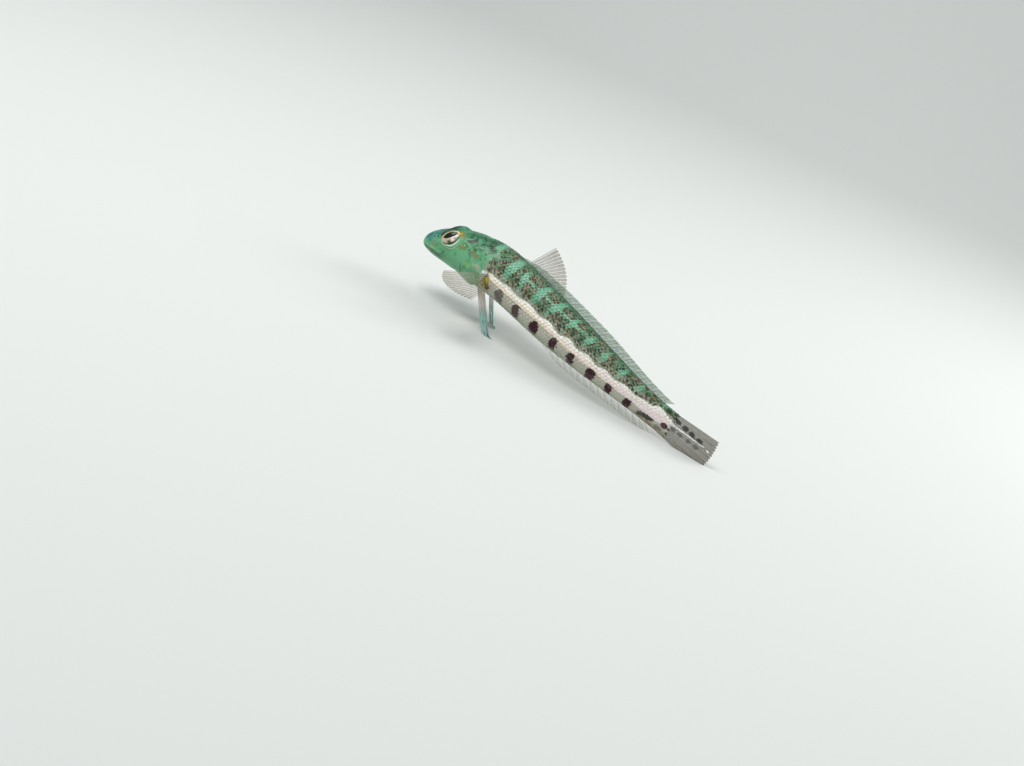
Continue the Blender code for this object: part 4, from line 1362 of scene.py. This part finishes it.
PELVIC_ANGLES = (math.radians(-60.0), math.radians(-71.0))
PELVIC_LONGEST = 0.0012
PELVIC_BOW = 0.08
PELVIC_BEND = 0.86
RAY_STEPS = 12
SPINE_NOTCH = 0.10
RAY_NOTCH = 0.03
MEMBRANE = 0.00014
RAY = 0.00042
DORSAL_FRONT_HEIGHT = 0.2
DORSAL_REAR_DROP = 0.45
ANAL_FRONT_HEIGHT = 0.3
CAUDAL_START = 0.985
CAUDAL_INSIDE = 0.015
TIPS_ABOVE_FLOOR = 0.00025

# %% [markdown]
# The rays of a fin, with their branches, are a height map over the sheet.

# %% Rays and their branches
def ray_ridges(x, v, rays, spines):
    """1 on the middle of a ray or a branch, 0 on the membrane; x counts the rays."""
    nearest = np.clip(np.round(x), 0, rays - 1)
    off = x - nearest
    branched = (nearest >= max(spines, 1)) & (nearest < rays - 1)
    first = 0.20 * smooth_step(0.22, 0.80, v) * branched
    second = 0.085 * smooth_step(0.55, 1.0, v) * branched
    width = 0.115 - 0.05 * v
    ridge = np.zeros_like(off)
    for one in (-1, 1):
        for two in (-1, 1):
            ridge = np.maximum(ridge, hump(off, one * first + two * second, width))
    return ridge, nearest


def make_fin(name, surface, rays, material, root, rows, spines=0, ray=RAY, on_floor=False, clefts=()):
    """A fin as one closed sheet with raised rays; surface(u, v) is its middle, v goes from root to margin."""
    columns = (rays - 1) * RAY_STEPS + 1
    u, v = np.meshgrid(np.linspace(0.0, 1.0, columns), np.linspace(0.0, 1.0, rows), indexing="ij")
    x = u * (rays - 1)
    ridge, nearest = ray_ridges(x, v, rays, spines)
    gap_share = np.abs(x - nearest) * 2
    deep = np.where(x < spines, SPINE_NOTCH, RAY_NOTCH) * gap_share**2 * (2 - gap_share)
    for cleft, depth in clefts:
        deep = np.where((x > cleft) & (x < cleft + 1), depth * smooth_step(0.05, 0.40, gap_share), deep)
    reach = v * (1 - deep * v)
    middle = surface(u, reach)
    du = np.gradient(middle, axis=0)
    dv = np.gradient(middle, axis=1)
    normal = unit(np.cross(du, dv))
    thick = MEMBRANE + (ray * (1 - 0.6 * v) - MEMBRANE) * ridge
    thick = thick + np.maximum(root - thick, 0.0) * (1 - smooth_step(0.0, 0.16, v))
    upper = middle + normal * (thick / 2)[..., None]
    lower = middle - normal * (thick / 2)[..., None]
    points = np.concatenate((upper.reshape(-1, 3), lower.reshape(-1, 3)))
    if on_floor:
        points[:, 2] = np.maximum(points[:, 2], 0.0)
    count = columns * rows
    faces = grid_faces(columns, rows)
    faces += [face[::-1] for face in grid_faces(columns, rows, start=count)]
    border = grid_rim(columns, rows)[::-1]
    faces += [[a, b, b + count, a + count] for a, b in zip(border, border[1:] + border[:1])]
    numbers = np.tile(np.stack([x, v, ridge], axis=-1).reshape(-1, 3), (2, 1))
    half = np.stack([u * 0.47, v], axis=-1).reshape(-1, 2)
    flat = np.concatenate((half, half + [0.52, 0.0]))
    made = make_mesh(name, points, faces, {"ray": numbers, "spread": points}, flat, material)
    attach(made, "root")
    return made


# %% [markdown]
# The membrane is clear with a faint haze, and the rays are denser. The dorsal fin carries a row of brown
# dots. The tail fin is dusky, with a white streak that goes on from the stripe of the flank, and with dark
# spots beside it.

# %% Finishes of the fins
RAY_JOINTS = 46.0
PALE_RAY = colour_of(196, 206, 188)
HAZE = colour_of(124, 118, 96)
PELVIC_WHITE = colour_of(226, 214, 206)
PELVIC_BLUE = colour_of(146, 196, 186)


def fin_finish(name, ray_tint, skin_tint, skin_alpha, ray_alpha, paint, root_alpha=1.0):
    """A clear membrane with denser rays; paint(colour, alpha, x, v, place) adds one fin's own marks."""
    material, tree, shader = new_finish(name)
    x, v, ridge = attribute(tree, "ray").parts()
    place = attribute(tree, "spread")
    haze = noise(place, 500.0, 3.0)
    joints = (v * RAY_JOINTS).fraction()
    on_ray = ridge.rise(0.25, 0.75)
    colour = mixed(on_ray, skin_tint, ray_tint)
    colour = mixed(on_ray * v.rise(0.25, 0.40) * joints.rise(0.72, 0.9) * 0.25, colour, skin_tint)
    alpha = skin_alpha + haze * 0.14 + on_ray * (ray_alpha - skin_alpha)
    alpha = alpha.most(v.fall(0.04, 0.16) * root_alpha)
    colour, alpha = paint(colour, alpha, x, v, place)
    tree.links.new(colour.socket, shader.inputs["Base Color"])
    tree.links.new(alpha.clamped().socket, shader.inputs["Alpha"])
    set_values(shader, roughness=0.32, coat_weight=0.3, coat_roughness=0.15)
    return material


def dorsal_paint(colour, alpha, x, v, place):
    """Brown dots between the rays, a green root, and a thin pale margin."""
    between = abs(x - (x + 0.5).floor())
    dots = ((between - 0.5).squared() * 9.0 + ((v - 0.42) * 3.6).squared()).fall(0.15, 0.45)
    colour = mixed(dots * 0.7, colour, BROWN)
    colour = mixed(v.fall(0.02, 0.22), colour, MINT)
    margin = v.rise(0.90, 0.97)
    colour = mixed(margin * 0.7, colour, PALE_RAY)
    return colour, alpha.most(dots * 0.45).most(margin * 0.5)


def anal_paint(colour, alpha, x, v, place):
    """A pale margin."""
    margin = v.rise(0.86, 0.95)
    return mixed(margin * 0.5, colour, PALE_RAY), alpha.most(margin * 0.30)


def caudal_paint(colour, alpha, x, v, place):
    """A white streak that thins out towards the margin, with a row of dark spots on each side of it."""
    ragged = noise(place, 900.0, 2.0)
    middle = 6.9 + v * 0.95
    half = 0.20 + v.fall(0.0, 0.20) * 1.9
    streak = (abs(x + ragged * 0.9 - middle) - half).fall(-0.14, 0.14) * v.fall(0.80, 0.83)
    colour = mixed(streak, colour, STRIPE_TOP)
    step = v * 5.9
    in_row = (step + ragged * 0.9 - (step + 0.5).floor()).squared() * 4.5
    above = ((x - middle - 2.9 + v * 3.2) * 0.85).squared() + in_row
    below = ((x - middle + 1.6) * 0.80).squared() + in_row
    dots = above.fall(0.45, 1.0).most(below.fall(0.35, 0.85) * 0.8)
    dots = dots * v.fall(0.74, 0.84) * v.rise(0.02, 0.10)
    colour = mixed(dots * (1.0 - streak), colour, DASH_GREEN)
    tip = spot(v, x, 0.90, 7.3, 0.030, 0.30)
    colour = mixed(tip, colour, STRIPE_TOP)
    root = v.fall(0.02, 0.10) * (1.0 - streak) * (1.0 - dots)
    colour = mixed(root, colour, FLANK_LOW)
    return colour, alpha.most(streak * 0.97).most(dots * 0.85).most(tip)


def pectoral_paint(colour, alpha, x, v, place):
    """A yellow and orange band across the fleshy base, with a brown line behind it."""
    base = mixed(x.rise(4.0, 12.0), YELLOW, ORANGE)
    band = v.fall(0.06, 0.15) * x.rise(1.0, 3.0)
    colour = mixed(band, colour, base)
    line = (v - 0.155).squared().fall(0.0002, 0.0009)
    colour = mixed(line * 0.5, colour, BROWN)
    return colour, alpha.most(band)


def pelvic_paint(colour, alpha, x, v, place):
    """White and pinkish near the body, turning blue-green towards the tips."""
    colour = mixed(v.rise(0.30, 0.62), colour, PELVIC_BLUE)
    colour = mixed(v.fall(0.30, 0.55), colour, PELVIC_WHITE)
    return colour, alpha.most(0.80 - v * 0.20)


dorsal_material = fin_finish(
    "dorsal_membrane", colour_of(104, 138, 108), colour_of(64, 108, 80), 0.34, 0.62, dorsal_paint
)
anal_material = fin_finish("anal_membrane", colour_of(196, 190, 176), PALE_RAY, 0.12, 0.34, anal_paint)
caudal_material = fin_finish(
    "caudal_membrane", colour_of(126, 120, 102), colour_of(100, 92, 76), 0.50, 0.70, caudal_paint
)
pectoral_material = fin_finish(
    "pectoral_membrane", colour_of(112, 98, 72), HAZE, 0.18, 0.52, pectoral_paint, root_alpha=0.2
)
pelvic_material = fin_finish("pelvic_membrane", PALE_RAY, HAZE, 0.6, 0.92, pelvic_paint)

# %% [markdown]
# ## Fins of the middle line
# The dorsal fin is folded low along the back, five short spines and then soft rays that lean back. The anal
# fin mirrors it under the belly. The tail fin is half closed.

# %% Dorsal, anal and tail fins
def between(ends, u):
    """The way from the first to the second of two values."""
    return ends[0] + (ends[1] - ends[0]) * u


def dorsal_surface(u, v):
    """The dorsal fin's middle sheet."""
    share = between(DORSAL_SHARES, u)
    spiny = DORSAL_SPINES / (DORSAL_SPINES + DORSAL_RAYS) * SPINE_CROWDING
    root = skin_points(share, math.pi / 2, 1.0, -GAP)
    _, along, left, up = axis_at(share)
    height = DORSAL_HEIGHT * between((DORSAL_FRONT_HEIGHT, 1.0), smooth_step(0.0, spiny, u))
    height = height * (1 - DORSAL_REAR_DROP * smooth_step(0.5, 1.0, u))
    rise = ((height + 2 * GAP) * v)[..., None]
    drape = (DORSAL_DRAPE * height * v * v)[..., None]
    return root + up * rise + along * rise * DORSAL_LEAN - left * drape


def anal_surface(u, v):
    """The anal fin's middle sheet."""
    share = between(ANAL_SHARES, u)
    root = skin_points(share, -math.pi / 2, 1.0, -GAP)
    _, along, _, up = axis_at(share)
    height = ANAL_HEIGHT * between((ANAL_FRONT_HEIGHT, 1.0), smooth_step(0.0, 0.2, u))
    drop = ((height + 2 * GAP) * v)[..., None]
    points = root - up * drop + along * drop * ANAL_LEAN
    points[..., 2] = np.maximum(points[..., 2], 0.0)
    return points


def caudal_surface(u, v):
    """The tail fin's middle sheet."""
    centre, along, left, up = axis_at(CAUDAL_START)
    top = float(TOP(1.0)) * STANDARD_LENGTH * CAUDAL_BASE_SHARE
    bottom = float(BOTTOM(1.0)) * STANDARD_LENGTH * CAUDAL_BASE_SHARE
    across = (u - 0.5) * 2
    length = CAUDAL_LENGTH * (1 - CAUDAL_ROUNDING * across * across) + CAUDAL_INSIDE * STANDARD_LENGTH
    height = -bottom + (top + bottom) * u + CAUDAL_SPREAD * across * v
    pleat = CAUDAL_PLEAT * np.sin(u * math.pi * (CAUDAL_RAYS - 1)) * v
    points = centre + height[..., None] * up + (length * v)[..., None] * along + pleat[..., None] * left
    points[..., 2] = np.maximum(points[..., 2], 0.0)
    return points


all_rays = DORSAL_SPINES + DORSAL_RAYS
dorsal = make_fin("dorsal_sheet", dorsal_surface, all_rays, dorsal_material, 0.0008, 20, DORSAL_SPINES)
anal = make_fin("anal_sheet", anal_surface, ANAL_RAYS, anal_material, 0.0008, 18, on_floor=True)
caudal = make_fin("caudal_sheet", caudal_surface, CAUDAL_RAYS, caudal_material, 0.0016, 48, on_floor=True)
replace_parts(dorsal, "dorsal_fin")
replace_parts(anal, "anal_fin")
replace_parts(caudal, "caudal_fin")

# %% [markdown]
# ## Paired fins
# The pectoral fins are rounded fans that stand out to the sides. The pelvic fins are small and stout: the
# fish props itself up on them, and their ray tips lie flat on the floor.

# %% Pectoral and pelvic fins
PECTORAL_RAYS_OUT = {
    1.0: ((-0.24, -0.97, 0.03), (0.00, -1.00, 0.03), (0.33, -0.94, 0.06)),
    -1.0: ((0.06, -0.86, 0.51), (0.30, -0.93, 0.22), (0.58, -0.81, -0.03)),
}
# How far the first and the last ray reach to the tail, and then to the side
PELVIC_REACH = {
    1.0: ((0.0162, 0.0165), (0.0030, 0.0042)),
    -1.0: ((0.0080, 0.0095), (0.0030, 0.0000)),
}
PELVIC_RAY = 0.0005
# Deep notches of the pelvic fin: the ray before each, and its depth
PELVIC_CLEFTS = ((1, 0.42), (3, 0.48))


def pectoral_surface(side):
    """The middle sheet of the pectoral fin of one side."""
    first, middle, last = [unit(ray) for ray in PECTORAL_RAYS_OUT[side]]

    def surface(u, v):
        root = skin_points(between(PECTORAL_SHARES, u), between(PECTORAL_ANGLES, u), side, -FIN_SINK, 0.0)
        w = u[..., None]
        ray = first * ((1 - w) * (1 - 2 * w)) + middle * (4 * w * (1 - w)) + last * (w * (2 * w - 1))
        ray = unit(ray * [1.0, side, 1.0])
        roundness = np.sin(np.pi * (0.20 + 0.65 * u)) ** 0.8
        length = FIN_SINK + PECTORAL_LENGTH * (1 - PECTORAL_ROUNDING + PECTORAL_ROUNDING * roundness)
        sag = np.array([0.0, 0.0, PECTORAL_SAG])
        return root + ray * (length * v)[..., None] - sag * (v * v)[..., None]

    return surface


def pelvic_surface(side):
    """The middle sheet of the pelvic fin of one side."""

    def surface(u, v):
        root = skin_points(between(PELVIC_SHARES, u), between(PELVIC_ANGLES, u), side, -FIN_SINK, 0.0)
        backs, outs = PELVIC_REACH[side]
        out = between(outs, u)
        back = between(backs, u) + PELVIC_LONGEST * np.sin(np.pi * u)
        rest = 1 - np.minimum(v / PELVIC_BEND, 1.0)
        drop = root[..., 2] * rest * (1 - PELVIC_BOW + PELVIC_BOW * rest)
        height = drop + TIPS_ABOVE_FLOOR
        return np.stack([root[..., 0] + back * v, root[..., 1] - side * out * v, height], axis=-1)

    return surface


for side, word in ((1.0, "left"), (-1.0, "right")):
    fan = make_fin(
        "pectoral_sheet_" + word, pectoral_surface(side), PECTORAL_RAYS, pectoral_material, 0.0017, 48
    )
    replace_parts(fan, "pectoral_fin_" + word)
    prop = make_fin(
        "pelvic_sheet_" + word, pelvic_surface(side), PELVIC_RAYS, pelvic_material, 0.0013, 48,
        ray=PELVIC_RAY, on_floor=True, clefts=PELVIC_CLEFTS,
    )
    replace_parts(prop, "pelvic_fin_" + word)

# %% [markdown]
# ## Camera
# The photo looks down on the fish from its left front. The camera was found by matching the fish's outline,
# its ovals and its gill edge. It is given by where it stands, the way it looks, and its lens.

# %% Camera
IMAGE_WIDTH = 1024
FOCAL_PIXELS = 1400.0
SENSOR = 36.0
CAMERA_FROM_NECK = Vector((0.3088, -0.5294, 0.2207 - NECK_HEIGHT))
CAMERA_BACK = Vector((0.439, -0.820, 0.366)).normalized()
CAMERA_RIGHT = Vector((0.737, 0.562, 0.375))

camera = bpy.data.objects.new("camera", bpy.data.cameras.new("camera"))
bpy.context.scene.collection.objects.link(camera)
camera.data.sensor_width = SENSOR
camera.data.lens = FOCAL_PIXELS / IMAGE_WIDTH * SENSOR
camera.data.clip_start = 0.01
right = (CAMERA_RIGHT - CAMERA_BACK * CAMERA_RIGHT.dot(CAMERA_BACK)).normalized()
upright = CAMERA_BACK.cross(right)
place = Vector(axis_at(NECK)[0]) + CAMERA_FROM_NECK
rows = [[right[k], upright[k], CAMERA_BACK[k], place[k]] for k in range(3)]
camera.matrix_world = Matrix(rows + [[0, 0, 0, 1]])
bpy.context.scene.camera = camera
print("camera stands", round(place.z, 3), "m above the floor")

# %% [markdown]
# ## Floor and light
# A plain pale floor and soft light show the fish as a museum would. The floor curves up far behind the
# fish, so that no edge shows. A large soft lamp from above and in front gives shape, a weaker one from
# behind separates the fins, a third lights the curve of the floor, and a pale surround fills the shadows.

# %% Floor and light
AWAY = np.array((-0.472, 0.882))
ASIDE = np.array((0.882, 0.472))
COVE_FROM = 0.9
COVE_RADIUS = 0.7
COVE_TOP = 3.0
FLOOR_FRONT = -2.0
HALF_FLOOR = 3.0
FLOOR_GREY = colour_of(200, 202, 199)
cove = np.linspace(0.0, math.pi / 2, 25)
reach = [FLOOR_FRONT, *(COVE_FROM + COVE_RADIUS * np.sin(cove)), COVE_FROM + COVE_RADIUS]
rises = [0.0, *(COVE_RADIUS * (1 - np.cos(cove))), COVE_TOP]
floor_points = []
for away, rise in zip(reach, rises):
    for aside in (-HALF_FLOOR, HALF_FLOOR):
        floor_points.append((*(AWAY * away + ASIDE * aside), rise))
floor_mesh = bpy.data.meshes.new("floor")
floor_mesh.from_pydata(floor_points, [], [face[::-1] for face in grid_faces(len(reach), 2)])
floor_mesh.shade_smooth()
floor = bpy.data.objects.new("floor", floor_mesh)
bpy.context.scene.collection.objects.link(floor)
floor_material, _, floor_shader = new_finish("pale_floor")
set_values(floor_shader, base_color=(*FLOOR_GREY, 1.0), roughness=0.9)
floor_mesh.materials.append(floor_material)


def soft_lamp(name, place, size, power, target=(0.0, 0.0, 0.0)):
    """A square area lamp that points at a target, the fish unless another is given."""
    data = bpy.data.lights.new(name, "AREA")
    data.size = size
    data.energy = power
    lamp = bpy.data.objects.new(name, data)
    bpy.context.scene.collection.objects.link(lamp)
    lamp.location = place
    lamp.rotation_euler = (Vector(place) - Vector(target)).to_track_quat("Z", "Y").to_euler()


soft_lamp("key_lamp", (-0.30, -0.30, 0.85), 0.5, 6.5)
soft_lamp("rim_lamp", (0.45, 0.55, 0.45), 0.4, 3.0)
cove_spot = AWAY * 1.5 + ASIDE * 0.6
cove_stand = AWAY * 0.8 + ASIDE * 0.6
soft_lamp("cove_lamp", (*cove_stand, 1.3), 1.6, 8.0, (*cove_spot, 0.1))
world = bpy.data.worlds.new("surround")
bpy.context.scene.world = world
world.use_nodes = True
world.node_tree.nodes["Background"].inputs["Color"].default_value = (0.86, 0.90, 0.92, 1.0)
world.node_tree.nodes["Background"].inputs["Strength"].default_value = 0.62
bpy.context.scene.view_settings.view_transform = "Standard"
